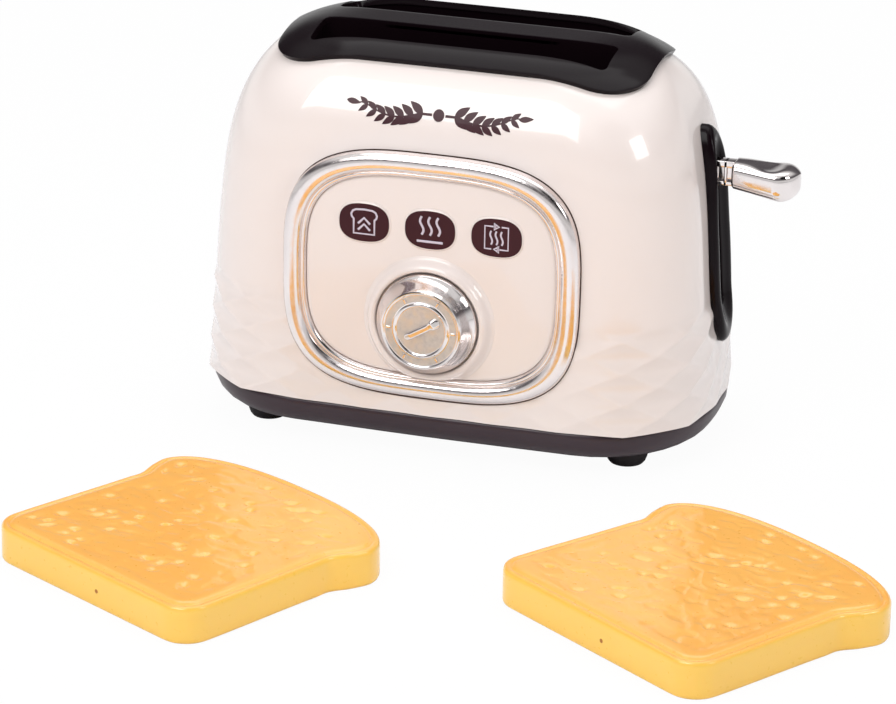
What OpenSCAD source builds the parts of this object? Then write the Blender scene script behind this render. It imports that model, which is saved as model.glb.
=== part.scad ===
// Toy pop-up toaster with its two toast slices, as separate pieces.
// Origin: on the table, under the middle of the toaster. +Z is up, the front
// faces -Y and the lever is at +X. All sizes are in millimetres.

/* [Housing] */
// Width of the housing at its lower edge
body_w = 195; // [190:1:204]
// Depth of the housing at its lower edge
body_d = 110.5; // [108:0.5:118]
// How far the middle of each side bulges, at the lower edge
side_bulge = 2.5; // [1:0.1:3]
// How far the middle of the front and of the back bulges, at the lower edge
front_bulge = 1; // [0.4:0.1:1.4]
// Plan radius of the housing's upright corners
corner_r = 35; // [30:0.5:36]
// Wall thickness of the housing
wall = 2.2; // [1.6:0.1:2.6]
// Height of the housing's lower edge above the table
shell_bottom = 18; // [16:0.5:21]
// Height of the housing's roof under the top cover
shell_top = 149.5; // [147:0.5:154]
// How far each side leans in over the full height
side_taper = 6.4; // [4:0.2:8]
// Height at which the sides start to round over
side_shoulder = 30; // [28:1:40]
// How far the rounding draws each side in at the roof
side_round = 59.6; // [54:0.2:60]
// Fullness of the side rounding
side_power = 4.5; // [4:0.1:5]
// How far the front and back lean in over the full height
front_taper = 3; // [2:0.2:4]
// Height at which the front and back start to round over
front_shoulder = 105; // [100:1:112]
// How far the rounding draws the front in at the roof
front_round = 30; // [26:1:31]
// Fullness of the front rounding
front_power = 2.1; // [2:0.1:2.4]

/* [Diamond relief] */
// Height of half a diamond
relief_step = 6; // [5:0.25:6.5]
// How far the middle of a diamond is drawn in behind its corners
relief_depth = 0.6; // [0.3:0.05:0.8]
// How far the corners of the diamonds stand out of the smooth form
relief_swell = 0.8; // [0.5:0.05:1]

/* [Base] */
// Height of the black base below the housing
base_h = 11.8; // [10:0.2:12.6]
// Wall of the base and thickness of its floor
base_wall = 2.4; // [2:0.1:3]
// Radius of the base's rounded lower edge
base_round = 9.4; // [7:0.2:9.6]
// How far the base stands inside the housing's lower edge
base_inset = 0.6; // [0.4:0.1:1.2]
// Radius of a foot where it meets the base
foot_r = 8.3; // [7:0.1:9]
// Distance of the feet from the middle, along the width
foot_x = 70; // [66:1:74]
// Distance of the feet from the middle, along the depth
foot_y = 31; // [28:1:34]

/* [Top cover] */
// Length of the top cover
cover_l = 141.4; // [138:0.2:145]
// Width of the top cover
cover_w = 73; // [70:0.5:76]
// Corner radius of the top cover
cover_r = 20; // [16:0.5:24]
// How far the top cover stands above the roof
cover_t = 2.5; // [2:0.1:3.2]
// Clear width of a bread slot
slot_w = 20.4; // [18:0.2:20.8]
// Distance of each slot's middle line from the middle of the toaster
slot_y = 17.3; // [16.6:0.1:17.6]
// Wall of the bread wells
well_wall = 1.8; // [1.4:0.1:2]

/* [Toast slices] */
// Width of a slice at its head
toast_w = 110.4; // [106:0.2:110.8]
// Width of a slice at its foot
toast_foot = 103.4; // [98:0.2:106]
// Height of a slice
toast_h = 101.5; // [94:0.5:104]
// Thickness of a slice
toast_t = 14; // [11:0.25:16]

/* [Control panel] */
// Width of the chrome surround
bezel_w = 112.4; // [108:0.4:114]
// Height of the chrome surround
bezel_h = 93; // [90:0.5:95]
// Height of the surround's centre above the table
panel_z = 71.2; // [70:0.2:72.5]
// Width of the chrome surround's band
bezel_band = 8.8; // [7.6:0.1:9.6]
// How far the chrome surround stands out from the panel
bezel_proud = 3; // [2.2:0.1:3.6]
// Thickness of the control panel
panel_t = 2.4; // [2:0.1:2.8]
// Distance between the oval signs
oval_pitch = 25.05; // [23:0.25:26]
// Height of the oval signs above the table
oval_z = 90.1; // [89:0.1:91]

/* [Knob] */
// Height of the knob's axis above the table
knob_z = 54.8; // [54:0.2:55.6]
// Radius of the knob at its back edge
knob_back_r = 19.1; // [18:0.1:19.3]
// Radius of the knob's front face
knob_face_r = 14.9; // [14:0.1:15.5]
// How far the knob's face stands in front of the panel
knob_reach = 10.7; // [9.5:0.1:12]
// Radius of the knob's shaft
shaft_r = 4; // [3.5:0.1:4.3]
// Turn of the knob to each side
knob_turn = 60; // [40:5:70]
// Swing of the latch to each side, in degrees
latch_swing = 3; // [2.4:0.1:3.2]

/* [Lever] */
// Travel of the lever and the carriage
lever_travel = 45; // [40:1:45]
// Height of the lever's middle above the table at rest
lever_z = 106.1; // [105:0.1:107]
// Length of the chrome handle
handle_l = 24.6; // [21:0.2:30]
// Width of the handle at its outer end
handle_w = 18; // [16:0.5:20]
// Width of the lever's stem
stem_w = 5; // [4:0.2:5.4]
// Height of the lever's stem
stem_h = 9.2; // [8:0.2:9.4]
// Width of the black oval trim round the lever slit
trim_w = 20; // [18:0.5:24]
// Radius of the guide rods
rod_r = 1.5; // [1.3:0.1:1.8]
// Number of turns in a return spring
spring_turns = 9; // [7:1:10]

/* [Clearances] */
// Radial clearance of a running fit
running = 0.08; // [0.05:0.01:0.1]
// Gap between a piece and its seat
seat = 0.1; // [0.05:0.05:0.2]
// Gap between moving pieces
moving = 0.35; // [0.3:0.05:0.45]
// Clearance between a slice and the end of its slot
slot_clear = 1; // [0.8:0.1:1.3]

/* [Hidden] */
$fn = 48;
eps = 0.01;
over = 1;

cream = [0.95, 0.90, 0.87];
black = [0.16, 0.15, 0.16];
chrome = [0.78, 0.76, 0.74];
steel = [0.62, 0.63, 0.65];
toast_colour = [1.00, 0.74, 0.36];
inner_white = [0.86, 0.86, 0.84];

// ---- housing form -------------------------------------------------------

// Columns of half diamonds on a side, a corner and the front, and over half the outline
side_cols = 4;
corner_cols = 4;
front_cols = 10;
half_cols = side_cols + corner_cols + front_cols + corner_cols;
cols = 2 * half_cols;
relief_rows = 7;
relief_top = shell_bottom + relief_rows * relief_step;

// Draw-in of a rounded shoulder at height z
function shoulder(z, start, depth, power) =
    let (u = min(1, max(0, (z - start) / (shell_top - start))))
    depth * (1 - pow(1 - pow(u, power), 1 / power));
function lean(z, taper) = taper * (z - shell_bottom) / (shell_top - shell_bottom);
// Half width at the corners, and half depth at the corners
function half_x(z) = body_w / 2 - side_bulge - lean(z, side_taper)
    - shoulder(z, side_shoulder, side_round, side_power);
function half_y(z) = body_d / 2 - front_bulge - lean(z, front_taper)
    - shoulder(z, front_shoulder, front_round, front_power);
// Bulge of a wall at height z, t from its middle (0) to its corners (1)
bulge_fade = 0.8;
function bulge(depth, z, t) = depth * (1 - lean(z, bulge_fade)) * pow(1 - pow(min(1, t), 2), 4);
// Half width in the middle of the sides
function side_x(z) = half_x(z) + bulge(side_bulge, z, 0);

// Point at column s of a rounded rectangle; s runs from the right side, anticlockwise
function outline_at(a, b, r, s) =
    s >= half_cols ? -outline_at(a, b, r, s - half_cols) :
    s < side_cols ? [a, (b - r) * (2 * s / side_cols - 1)] :
    s < side_cols + corner_cols ?
        let (t = 90 * (s - side_cols) / corner_cols) [a - r + r * cos(t), b - r + r * sin(t)] :
    s < side_cols + corner_cols + front_cols ?
        [(a - r) * (1 - 2 * (s - side_cols - corner_cols) / front_cols), b] :
        let (t = 90 + 90 * (s - side_cols - corner_cols - front_cols) / corner_cols)
        [r - a + r * cos(t), b - r + r * sin(t)];
// The same on the housing at height z, drawn in by inset
function housing_at(z, s, inset) =
    let (top = z + max(0, inset), a = half_x(top) - inset, b = half_y(top) - inset,
         r = min(corner_r - inset, a - over, b - over), p = outline_at(a, b, r, s))
    [p[0] + sign(p[0]) * bulge(side_bulge, z, abs(p[1]) / b),
     p[1] + sign(p[1]) * bulge(front_bulge, z, abs(p[0]) / a), z];
// Height of the roof above a point x from the middle, between two heights
function roof_at(x, low, high, steps = 20) = let (middle = (low + high) / 2)
    steps == 0 ? middle : half_x(middle) > x ? roof_at(x, middle, high, steps - 1)
    : roof_at(x, low, middle, steps - 1);

// Heights of the smooth rings: even above the relief, then closer together towards the roof
roof_from = 128;
roof_levels = [for (j = [0 : 8]) shell_top - (shell_top - roof_from) * pow(1 - j / 8, 2)];
ring_levels = concat([for (j = [1 : 4]) relief_top + (roof_from - relief_top) * j / 5], roof_levels);

// Diamond relief: corners of the diamonds stand out of the smooth form, and each
// diamond's middle lies between them, drawn in by the relief's depth
function relief_corner(i, k, inset) =
    housing_at(shell_bottom + k * relief_step, i % cols,
        inset - (k == relief_rows ? 0 : relief_swell));
function relief_middle(i, k, inset) = let (d = inset + relief_depth)
    k == 0 ? (relief_corner(i + cols - 1, 0, d) + relief_corner(i + 1, 0, d)) / 2 :
    (relief_corner(i + cols - 1, k, d) + relief_corner(i + 1, k, d)
     + relief_corner(i, k - 1, d) + relief_corner(i, k + 1, d)) / 4;

// Closed solid of the housing's outer form, or of its hollow when inset is the wall;
// drop lowers its bottom edge
module housing_form(inset, subs, drop = 0) {
    n = cols * subs;
    rings = len(ring_levels);
    relief_points = [for (k = [0 : relief_rows]) for (i = [0 : cols - 1])
        ((i + k) % 2 == 1 || k == relief_rows ?
            relief_corner(i, k, inset) : relief_middle(i, k, inset)) - [0, 0, k == 0 ? drop : 0]];
    ring_points = [for (z = ring_levels) for (i = [0 : n - 1]) housing_at(z - inset, i / subs, inset)];
    first = len(relief_points);
    function low(i, k) = k * cols + i % cols;
    function edge(i) = i % 2 == 0 ? low(i, relief_rows) : low(i, relief_rows - 1);
    function up(i, j) = first + j * n + i % n;
    half = ceil(subs / 2);
    faces = concat(
        [[for (i = [0 : cols - 1]) low(i, 0)]],
        // upper halves of the diamonds
        [for (k = [0 : relief_rows - 1]) for (i = [0 : cols - 1]) if ((i + k) % 2 == 0)
            each [[low(i + cols - 1, k), low(i, k + 1), low(i, k)],
                  [low(i, k + 1), low(i + 1, k), low(i, k)]]],
        // lower halves of the diamonds
        [for (k = [1 : relief_rows - 1]) for (i = [0 : cols - 1]) if ((i + k) % 2 == 0)
            each [[low(i + 1, k), low(i, k - 1), low(i, k)],
                  [low(i, k - 1), low(i + cols - 1, k), low(i, k)]]],
        // from the zigzag edge of the relief to the first smooth ring
        [for (i = [0 : cols - 1]) each concat(
            [for (j = [0 : subs - 1])
                [j < half ? edge(i) : edge(i + 1), up(i * subs + j, 0), up(i * subs + j + 1, 0)]],
            [[edge(i), up(i * subs + half, 0), edge(i + 1)]])],
        // smooth rings
        [for (j = [0 : rings - 2]) for (i = [0 : n - 1])
            each [[up(i, j), up(i, j + 1), up(i + 1, j + 1)],
                  [up(i, j), up(i + 1, j + 1), up(i + 1, j)]]],
        [[for (i = [n - 1 : -1 : 0]) up(i, rings - 1)]]);
    polyhedron(concat(relief_points, ring_points), faces);
}

// Upper part of the housing's outer form, raised by lift
module roof_form(lift, subs = 2) {
    n = cols * subs;
    roof_rings = len(roof_levels) - 1;
    points = [for (z = roof_levels) for (i = [0 : n - 1]) housing_at(z, i / subs, 0) + [0, 0, lift]];
    function at(i, j) = j * n + i % n;
    polyhedron(points, concat(
        [[for (i = [0 : n - 1]) at(i, 0)]],
        [for (j = [0 : roof_rings - 1]) for (i = [0 : n - 1])
            each [[at(i, j), at(i, j + 1), at(i + 1, j + 1)],
                  [at(i, j), at(i + 1, j + 1), at(i + 1, j)]]],
        [[for (i = [n - 1 : -1 : 0]) at(i, roof_rings)]]));
}

// ---- shared shapes ------------------------------------------------------

module rounded_rect(l, w, r) {
    for (sx = [-1, 1]) for (sy = [-1, 1]) translate([sx * (l / 2 - r), sy * (w / 2 - r)]) circle(r);
    square([l - 2 * r, w], center = true);
    square([l, w - 2 * r], center = true);
}
// Flat shape drawn in X and Z, from the plane y = back towards the front
module facing(back, thick) {
    translate([0, back, 0]) rotate([90, 0, 0]) linear_extrude(thick) children();
}
// Round bar along Y, from y = back towards the front
module round_y(x, back, z, r, length) {
    translate([x, back, z]) rotate([90, 0, 0]) cylinder(r = r, h = length);
}
// Round bar along X, from x = from outwards
module round_x(from, y, z, r, length) {
    translate([from, y, z]) rotate([0, 90, 0]) cylinder(r = r, h = length);
}
module bar(p, q, w) {
    d = q - p;
    translate(p) rotate(atan2(d[1], d[0])) translate([0, -w / 2]) square([norm(d), w]);
    translate(p) circle(w / 2);
    translate(q) circle(w / 2);
}
// Rounded-square outline of half sizes a and b
squareness = 3.3;
function squircle(a, b, power = squareness, steps = 56) =
    [for (i = [0 : steps - 1]) let (t = 360 * (i + 0.5) / steps)
        [a * sign(cos(t)) * pow(abs(cos(t)), 2 / power),
         b * sign(sin(t)) * pow(abs(sin(t)), 2 / power)]];
// Screw with its head at the origin and its shank along +Z
screw_r = 1.25;
screw_hole = 1.35;
head_r = 2.6;
head_h = 1.8;
module screw(length) {
    difference() {
        union() {
            translate([0, 0, -head_h]) cylinder(r = head_r, h = head_h);
            translate([0, 0, -eps]) cylinder(r = screw_r, h = length + eps);
        }
        for (a = [0, 90]) rotate(a) translate([-1.5, -0.35, -head_h - over])
            cube([3, 0.7, over + 0.9]);
    }
}
module at_each(places) { for (p = places) translate(p) children(); }

// Wire along a path of points, as one tube with six sides
wire_sides = 6;
function unit(v) = v / norm(v);
module wire(path, r, centre) {
    n = len(path);
    points = [for (i = [0 : n - 1]) let (
            ahead = path[min(i + 1, n - 1)], behind = path[max(i - 1, 0)],
            t = unit(ahead - behind), out = unit([path[i][0] - centre[0], path[i][1] - centre[1], 0]),
            side = cross(t, out))
        for (k = [0 : wire_sides - 1]) let (a = 360 * k / wire_sides)
            path[i] + r * (out * cos(a) + unit(side) * sin(a))];
    faces = concat(
        [[for (k = [wire_sides - 1 : -1 : 0]) k]],
        [for (i = [0 : n - 2]) for (k = [0 : wire_sides - 1]) let (m = (k + 1) % wire_sides,
            a = i * wire_sides, b = a + wire_sides)
            each [[a + k, a + m, b + m], [a + k, b + m, b + k]]],
        [[for (k = [0 : wire_sides - 1]) (n - 1) * wire_sides + k]]);
    polyhedron(points, faces);
}
curl_steps = 8;
// Coil along Z from z0 to z1 whose two ends run straight up for one wire thickness
function coil(x, y, z0, z1, turns, r, wire_r) = let (steps = turns * curl_steps,
        a = z0 + 2 * wire_r, b = z1 - 2 * wire_r)
    concat([[x + r, y, z0]],
        [for (i = [0 : steps]) let (t = 360 * i / curl_steps)
            [x + r * cos(t), y + r * sin(t), a + (b - a) * i / steps]],
        [[x + r, y, z1]]);
// Least gap between a coil's wire and itself, measured between its points
function least_gap(path, wire_r) = min([for (i = [0 : len(path) - 1])
    for (j = [i + curl_steps - 2 : 1 : len(path) - 1]) norm(path[i] - path[j])]) - 2 * wire_r;

// ---- places -------------------------------------------------------------

// Panel: its face, the floor of its pocket, and the back of the pad behind it
panel_face = -(body_d / 2 - 0.65);
pocket_y = panel_face + panel_t;
pad_t = 2.2;
pad_y = pocket_y + pad_t;
panel_half_w = bezel_w / 2 - bezel_band;
panel_half_h = bezel_h / 2 - bezel_band + 0.3;
bezel_y = panel_face - bezel_proud;

// Base
base_bottom = shell_bottom - base_h;
floor_z = base_bottom + base_wall;
pillar_top = floor_z + 2.6;
base_screw_x = 45;
base_screw_y = body_d / 2 - 13.3;

// Bread slots and wells
slot_l = toast_w + 2 * slot_clear;
slot_r = 3;
well_l = slot_l + 2 * well_wall;
well_w = slot_w + 2 * well_wall;
collar_end = shell_top - wall - 8;
well_top = collar_end - seat;
well_end = well_l / 2;
well_screw_x = well_end + 3.2;

// Carriage, on two upright rods just past the wells
plate_x = well_end + 8.2;
plate_t = 5;
rod_x = plate_x + plate_t / 2;
rod_y = 14;
sleeve_r = 4;
carriage_top = lever_z + 7.6;
rest_z = lever_z - 26.1;
rest_t = 4;
carriage_bottom = rest_z - rest_t;
arm_w = 8;
bracket_z = carriage_top + moving;
bracket_t = 5;
rod_socket = pillar_top + 4;
tab_edge = -(body_d / 2 - 9);
spring_r = 2.9;
spring_wire = 0.5;

// Lever slit
slit_w = stem_w + 1.4;
slit_end = slit_w / 2 - sqrt(pow(slit_w / 2, 2) - pow(stem_w / 2, 2)) + moving;
slit_low = lever_z - lever_travel - stem_h / 2 - slit_end;
slit_high = lever_z + stem_h / 2 + slit_end;
trim_low = 40.5;
trim_high = 123.2;
trim_crest = 3.5;
trim_mid = (trim_low + trim_high) / 2;
trim_half = (trim_high - trim_low) / 2;
trim_screw_zs = [trim_low + 7, trim_high - 5.8];

// Latch: a bell crank in front of the front well, which rides on the knob's cam
latch_back = pad_y + 5.9;
latch_t = 3;
latch_pivot = [58, 84];
nose_r = 2.5;
cam_r = 10;
nose = [3, knob_z + cam_r + nose_r + moving];
hook_low = rest_z - lever_travel + 0.6;
hook_w = 6.5;
hook_edge = plate_x - 0.45;
cam_back = latch_back + 0.5;
cam_t = 4;
spring_peg = [26, 40];

// ---- housing ------------------------------------------------------------

cover_screw_x = slot_l / 2 + 7.3;
cover_screw_places = [for (sx = [-1, 1]) for (sy = [-1, 1]) [sx * cover_screw_x, sy * 12]];
cover_head_r = 4.6;
// Underside of the seats for the cover's screws, clear of the wall over the screw heads
cover_boss_z = roof_at(cover_screw_x + cover_head_r + wall, shell_bottom, shell_top) - wall - 1.4;
cover_screw_l = 5.2;
cover_post_r = 3.2;
base_screw_places = [for (sx = [-1, 1]) for (sy = [-1, 1]) [sx * base_screw_x, sy * base_screw_y]];
base_boss_r = 4;
base_boss_top = 32;
lip_h = 5;
base_rib_z = shell_bottom + lip_h + 0.5;
panel_posts = [for (sx = [-1, 1]) for (sz = [-1, 1])
    [sx * (panel_half_w - 8), panel_z + sz * (panel_half_h - 12)]];
post_r = 3;
bezel_pins = [for (sx = [-1, 1]) for (sz = [-1, 1])
    [sx * (bezel_w / 2 - bezel_band / 2) * 0.8, panel_z + sz * (bezel_h / 2 - bezel_band / 2) * 0.8]];
pin_r = 1.5;

module body_shell() color(cream) difference() {
    union() {
        difference() {
            housing_form(0, 2);
            housing_form(wall, 1, over);
        }
        // flat seat behind the panel and its chrome surround
        translate([0, 0, panel_z]) facing(pad_y, pad_t) polygon(squircle(bezel_w / 2, bezel_h / 2));
        // seats for the cover's screws
        intersection() {
            translate([0, 0, cover_boss_z]) linear_extrude(shell_top - cover_boss_z)
                at_each(cover_screw_places) circle(5);
            roof_form(-0.4);
        }
        // posts for the base's screws, joined to the front and back walls
        for (p = base_screw_places) {
            translate([p[0], p[1], pillar_top + seat])
                cylinder(r = base_boss_r, h = base_boss_top - pillar_top - seat);
            translate([p[0] - 0.9, p[1] > 0 ? p[1] : -half_y(base_boss_top) + 1, base_rib_z])
                cube([1.8, half_y(base_boss_top) - 1 - base_screw_y, base_boss_top - base_rib_z]);
        }
        // boss for the latch's pivot
        round_y(latch_pivot[0], latch_back - latch_t - moving, latch_pivot[1], 3.5,
            latch_back - latch_t - moving + half_y(latch_pivot[1]) - 0.6);
        // hook for the latch's spring
        round_y(spring_peg[0], latch_back, spring_peg[1], 1.6, latch_back - pad_y + 1);
    }
    // pocket for the panel and its surround
    translate([0, 0, panel_z]) facing(pocket_y, 12)
        polygon(squircle(bezel_w / 2 + seat, bezel_h / 2 + seat));
    for (p = panel_posts) round_y(p[0], pad_y + over, p[1], post_r + seat, pad_t + 2 * over);
    for (p = bezel_pins) round_y(p[0], pad_y + over, p[1], pin_r + running, pad_t + 2 * over);
    round_y(0, pad_y + over, knob_z, shaft_r + running, pad_t + 2 * over);
    // openings for the collars of the bread slots
    for (sy = [-1, 1]) translate([0, sy * slot_y, collar_end - 3]) linear_extrude(20)
        rounded_rect(well_l + 2 * seat, well_w + 2 * seat, slot_r + well_wall);
    for (p = cover_screw_places) translate([p[0], p[1], cover_boss_z - over])
        cylinder(r = cover_post_r + seat, h = 12);
    for (p = base_screw_places) translate([p[0], p[1], pillar_top - over])
        cylinder(r = screw_hole, h = 12);
    round_y(latch_pivot[0], latch_back, latch_pivot[1], screw_hole, 7.5);
    // slit for the lever, and the trim's screw posts
    translate([body_w / 2 - 20, 0, 0]) rotate([90, 0, 90]) linear_extrude(40)
        bar([0, slit_low + slit_w / 2], [0, slit_high - slit_w / 2], slit_w + 0.6);
    for (z = trim_screw_zs) round_x(body_w / 2 - 20, 0, z, trim_post_r + seat, 40);
}

module top_cover() color(black) difference() {
    union() {
        difference() {
            intersection() {
                roof_form(cover_t);
                translate([0, 0, roof_from + 6]) linear_extrude(40)
                    rounded_rect(cover_l, cover_w, cover_r);
            }
            roof_form(seat);
        }
        intersection() {
            union() {
                // collars that reach down into the bread wells, and the posts for the screws
                for (sy = [-1, 1]) translate([0, sy * slot_y, collar_end])
                    linear_extrude(shell_top - collar_end)
                        rounded_rect(well_l, well_w, slot_r + well_wall);
                for (p = cover_screw_places) translate([p[0], p[1], cover_boss_z + 0.6])
                    cylinder(r = cover_post_r, h = shell_top - cover_boss_z);
            }
            roof_form(cover_t / 2);
        }
    }
    for (sy = [-1, 1]) translate([0, sy * slot_y, collar_end - over]) linear_extrude(40)
        rounded_rect(slot_l, slot_w, slot_r);
    for (p = cover_screw_places) translate([p[0], p[1], cover_boss_z - over])
        cylinder(r = screw_hole, h = cover_screw_l + 0.5 + over);
}

module cover_screws() color(steel) for (p = cover_screw_places)
    translate([p[0], p[1], cover_boss_z]) {
        difference() {
            translate([0, 0, -1]) cylinder(r = cover_head_r, h = 1);
            translate([0, 0, -1 - eps]) cylinder(r = 1.2, h = 0.5, $fn = 6);
        }
        translate([0, 0, -eps]) cylinder(r = screw_r, h = cover_screw_l);
    }

// ---- base ---------------------------------------------------------------

// Outline of the housing's lower edge, drawn in by inset
tray_points = 2 * cols;
tray_r = corner_r + relief_swell + 6.5;
function lower_outline(inset) = [for (i = [0 : tray_points - 1])
    let (a = half_x(shell_bottom) + relief_swell - inset,
         b = half_y(shell_bottom) + relief_swell - inset,
         p = outline_at(a, b, tray_r - inset, i / 2))
    [p[0] + sign(p[0]) * bulge(side_bulge, shell_bottom, abs(p[1]) / b),
     p[1] + sign(p[1]) * bulge(front_bulge, shell_bottom, abs(p[0]) / a)]];
// The same for the lip inside the housing, along the inner points of the relief
function lip_outline(inset) = [for (i = [0 : cols - 1])
    let (p = (relief_corner(i + cols - 1, 0, inset) + relief_corner(i + 1, 0, inset)) / 2) [p[0], p[1]]];
// Solid between levels that each give how far in from the housing's edge, and how high
module tray_form(levels) {
    n = tray_points;
    points = [for (v = levels) for (p = lower_outline(v[0])) [p[0], p[1], v[1]]];
    polyhedron(points, concat(
        [[for (i = [0 : n - 1]) i]],
        [for (j = [0 : len(levels) - 2]) for (i = [0 : n - 1])
            let (a = j * n + i, b = j * n + (i + 1) % n)
            each [[a, a + n, b + n], [a, b + n, b]]],
        [[for (i = [n - 1 : -1 : 0]) (len(levels) - 1) * n + i]]));
}
// Rounded lower edge, as levels for the form above
function lower_round(inset, low, r, steps) = [for (i = [0 : steps])
    let (t = -90 + 90 * i / steps) [inset + r - r * cos(t), low + r + r * sin(t)]];
lip_in = 3.6;
lip_t = 1.8;
ledge_t = 2.2;

foot_places = [for (sy = [-1, 1]) for (sx = [-1, 1]) [sx * foot_x, sy * foot_y]];
foot_stud_r = 3;
well_screw_places = [for (sx = [-1, 1]) for (sy = [-1, 1]) [sx * well_screw_x, sy * slot_y]];
rod_places = [for (sy = [-1, 1]) [rod_x, sy * rod_y]];
counterbore = head_h + 0.4;

module base_tray() color(black) difference() {
    union() {
        difference() {
            union() {
                tray_form(concat(lower_round(base_inset, base_bottom, base_round, 6),
                    [[base_inset, shell_bottom - seat]]));
                translate([0, 0, shell_bottom - seat - eps]) linear_extrude(lip_h)
                    polygon(lip_outline(lip_in));
            }
            tray_form(concat(lower_round(base_inset + base_wall, floor_z, base_round - base_wall, 5),
                [[base_inset + base_wall, shell_bottom - ledge_t]]));
            translate([0, 0, shell_bottom - ledge_t - eps]) linear_extrude(lip_h + 10)
                polygon(lip_outline(lip_in + lip_t));
        }
        for (p = concat(base_screw_places, well_screw_places)) translate([p[0], p[1], base_bottom])
            cylinder(r = 4.6, h = pillar_top - base_bottom);
        for (p = rod_places) translate([p[0], p[1], base_bottom])
            cylinder(r = 4.2, h = rod_socket - base_bottom);
    }
    for (p = concat(base_screw_places, well_screw_places)) translate([p[0], p[1], base_bottom - over]) {
        cylinder(r = screw_r + 0.35, h = 20);
        cylinder(r = head_r + 0.4, h = over + counterbore);
    }
    for (p = rod_places) translate([p[0], p[1], floor_z]) cylinder(r = rod_r + seat, h = 20);
    for (p = foot_places) translate([p[0], p[1], base_bottom - over])
        cylinder(r = foot_stud_r + 0.05, h = base_wall + 2 * over);
}

module foot(i) color(black) translate([foot_places[i][0], foot_places[i][1], 0]) rotate_extrude()
    polygon([[0, 0], [foot_r - 3, 0], [foot_r - 2, 0.4], [foot_r - 1.2, 1.4], [foot_r - 0.6, 3],
        [foot_r - 0.2, base_bottom - 1], [foot_r, base_bottom], [foot_stud_r, base_bottom],
        [foot_stud_r, floor_z + seat], [foot_stud_r + 0.7, floor_z + seat],
        [foot_stud_r + 0.2, floor_z + 2], [0, floor_z + 2]]);

module base_screws() color(steel) for (p = base_screw_places)
    translate([p[0], p[1], base_bottom + counterbore]) screw(12);
module well_screws() color(steel) for (p = well_screw_places)
    translate([p[0], p[1], base_bottom + counterbore]) screw(10);

// ---- bread wells and rods -----------------------------------------------

lug_h = 6;
module bread_well(s) color(inner_white) difference() {
    bottom = pillar_top + seat;
    union() {
        translate([0, s * slot_y, bottom]) linear_extrude(well_top - bottom)
            rounded_rect(well_l, well_w, slot_r + well_wall);
        for (sx = [-1, 1]) translate([sx * well_screw_x, s * slot_y, bottom])
            cylinder(r = 3.4, h = 12);
        // lug that carries the rods' bracket
        translate([well_end - 1, s * slot_y - 4.5, bracket_z - lug_h]) cube([6.4, 9, lug_h]);
    }
    translate([0, s * slot_y, bottom - over]) linear_extrude(well_top - bottom + 2 * over)
        rounded_rect(slot_l, slot_w, slot_r);
    // slit for the carriage's arm
    translate([well_end - well_wall - over, s * slot_y - arm_w / 2 - 0.6,
            carriage_bottom - lever_travel - 1.5])
        cube([well_wall + 2 * over, arm_w + 1.2, lever_travel + rest_t + 4]);
    for (sx = [-1, 1]) translate([sx * well_screw_x, s * slot_y, bottom - over])
        cylinder(r = screw_hole, h = 11);
    translate([well_screw_x, s * slot_y, bracket_z - 5]) cylinder(r = screw_hole, h = 10);
}

module guide_rod(s) color(steel) translate([rod_x, s * rod_y, floor_z])
    cylinder(r = rod_r, h = bracket_z + bracket_t - floor_z);

module rod_bracket() color(inner_white) difference() {
    translate([well_end + 0.4, -24, bracket_z]) linear_extrude(bracket_t) {
        translate([0, 2]) square([rod_x + sleeve_r - well_end - 0.4, 44]);
        translate([0, 0]) square([7, 48]);
    }
    for (p = rod_places) translate([p[0], p[1], bracket_z - over])
        cylinder(r = rod_r + seat, h = bracket_t + 2 * over);
    for (s = [-1, 1]) translate([well_screw_x, s * slot_y, bracket_z - over])
        cylinder(r = screw_r + 0.35, h = bracket_t + 2 * over);
}
module bracket_screws() color(steel) for (s = [-1, 1])
    translate([well_screw_x, s * slot_y, bracket_z + bracket_t]) rotate([180, 0, 0])
        screw(bracket_t + 4.5);

module return_spring(s) color(steel)
    wire(coil(rod_x, s * rod_y, rod_socket + eps, carriage_bottom - eps, spring_turns, spring_r,
        spring_wire), spring_wire, [rod_x, s * rod_y]);

// ---- carriage and lever -------------------------------------------------

plate_half = 22;
stem_from = plate_x + plate_t + seat;
module carriage() color(inner_white) difference() {
    union() {
        translate([plate_x, -plate_half, carriage_bottom])
            cube([plate_t, 2 * plate_half, carriage_top - carriage_bottom]);
        for (p = rod_places) translate([p[0], p[1], carriage_bottom])
            cylinder(r = sleeve_r, h = carriage_top - carriage_bottom);
        // arms that pass into the wells and carry the slices
        for (s = [-1, 1]) {
            translate([6 - slot_l / 2, s * slot_y - arm_w / 2, carriage_bottom])
                cube([plate_x + over + slot_l / 2 - 6, arm_w, rest_t]);
            for (x = [6 - slot_l / 2, -3, slot_l / 2 - 12])
                translate([x, s * slot_y - slot_w / 2 + 2.2, carriage_bottom])
                    cube([6, slot_w - 4.4, rest_t]);
        }
        // tab that the latch hooks over
        translate([plate_x, tab_edge, carriage_bottom]) cube([plate_t, -tab_edge - 20, rest_t]);
        // socket for the lever's stem
        translate([plate_x + plate_t - eps, -stem_w / 2 - 1.7, lever_z - stem_h / 2 - 1.7])
            cube([4 + eps, stem_w + 3.4, stem_h + 3.4]);
    }
    for (p = rod_places) translate([p[0], p[1], carriage_bottom - over])
        cylinder(r = rod_r + running, h = carriage_top - carriage_bottom + 2 * over);
    translate([stem_from - seat, -stem_w / 2 - seat, lever_z - stem_h / 2 - seat])
        cube([5, stem_w + 2 * seat, stem_h + 2 * seat]);
    round_x(plate_x - over, 0, lever_z, screw_hole, plate_t + 2 * over);
}

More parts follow.
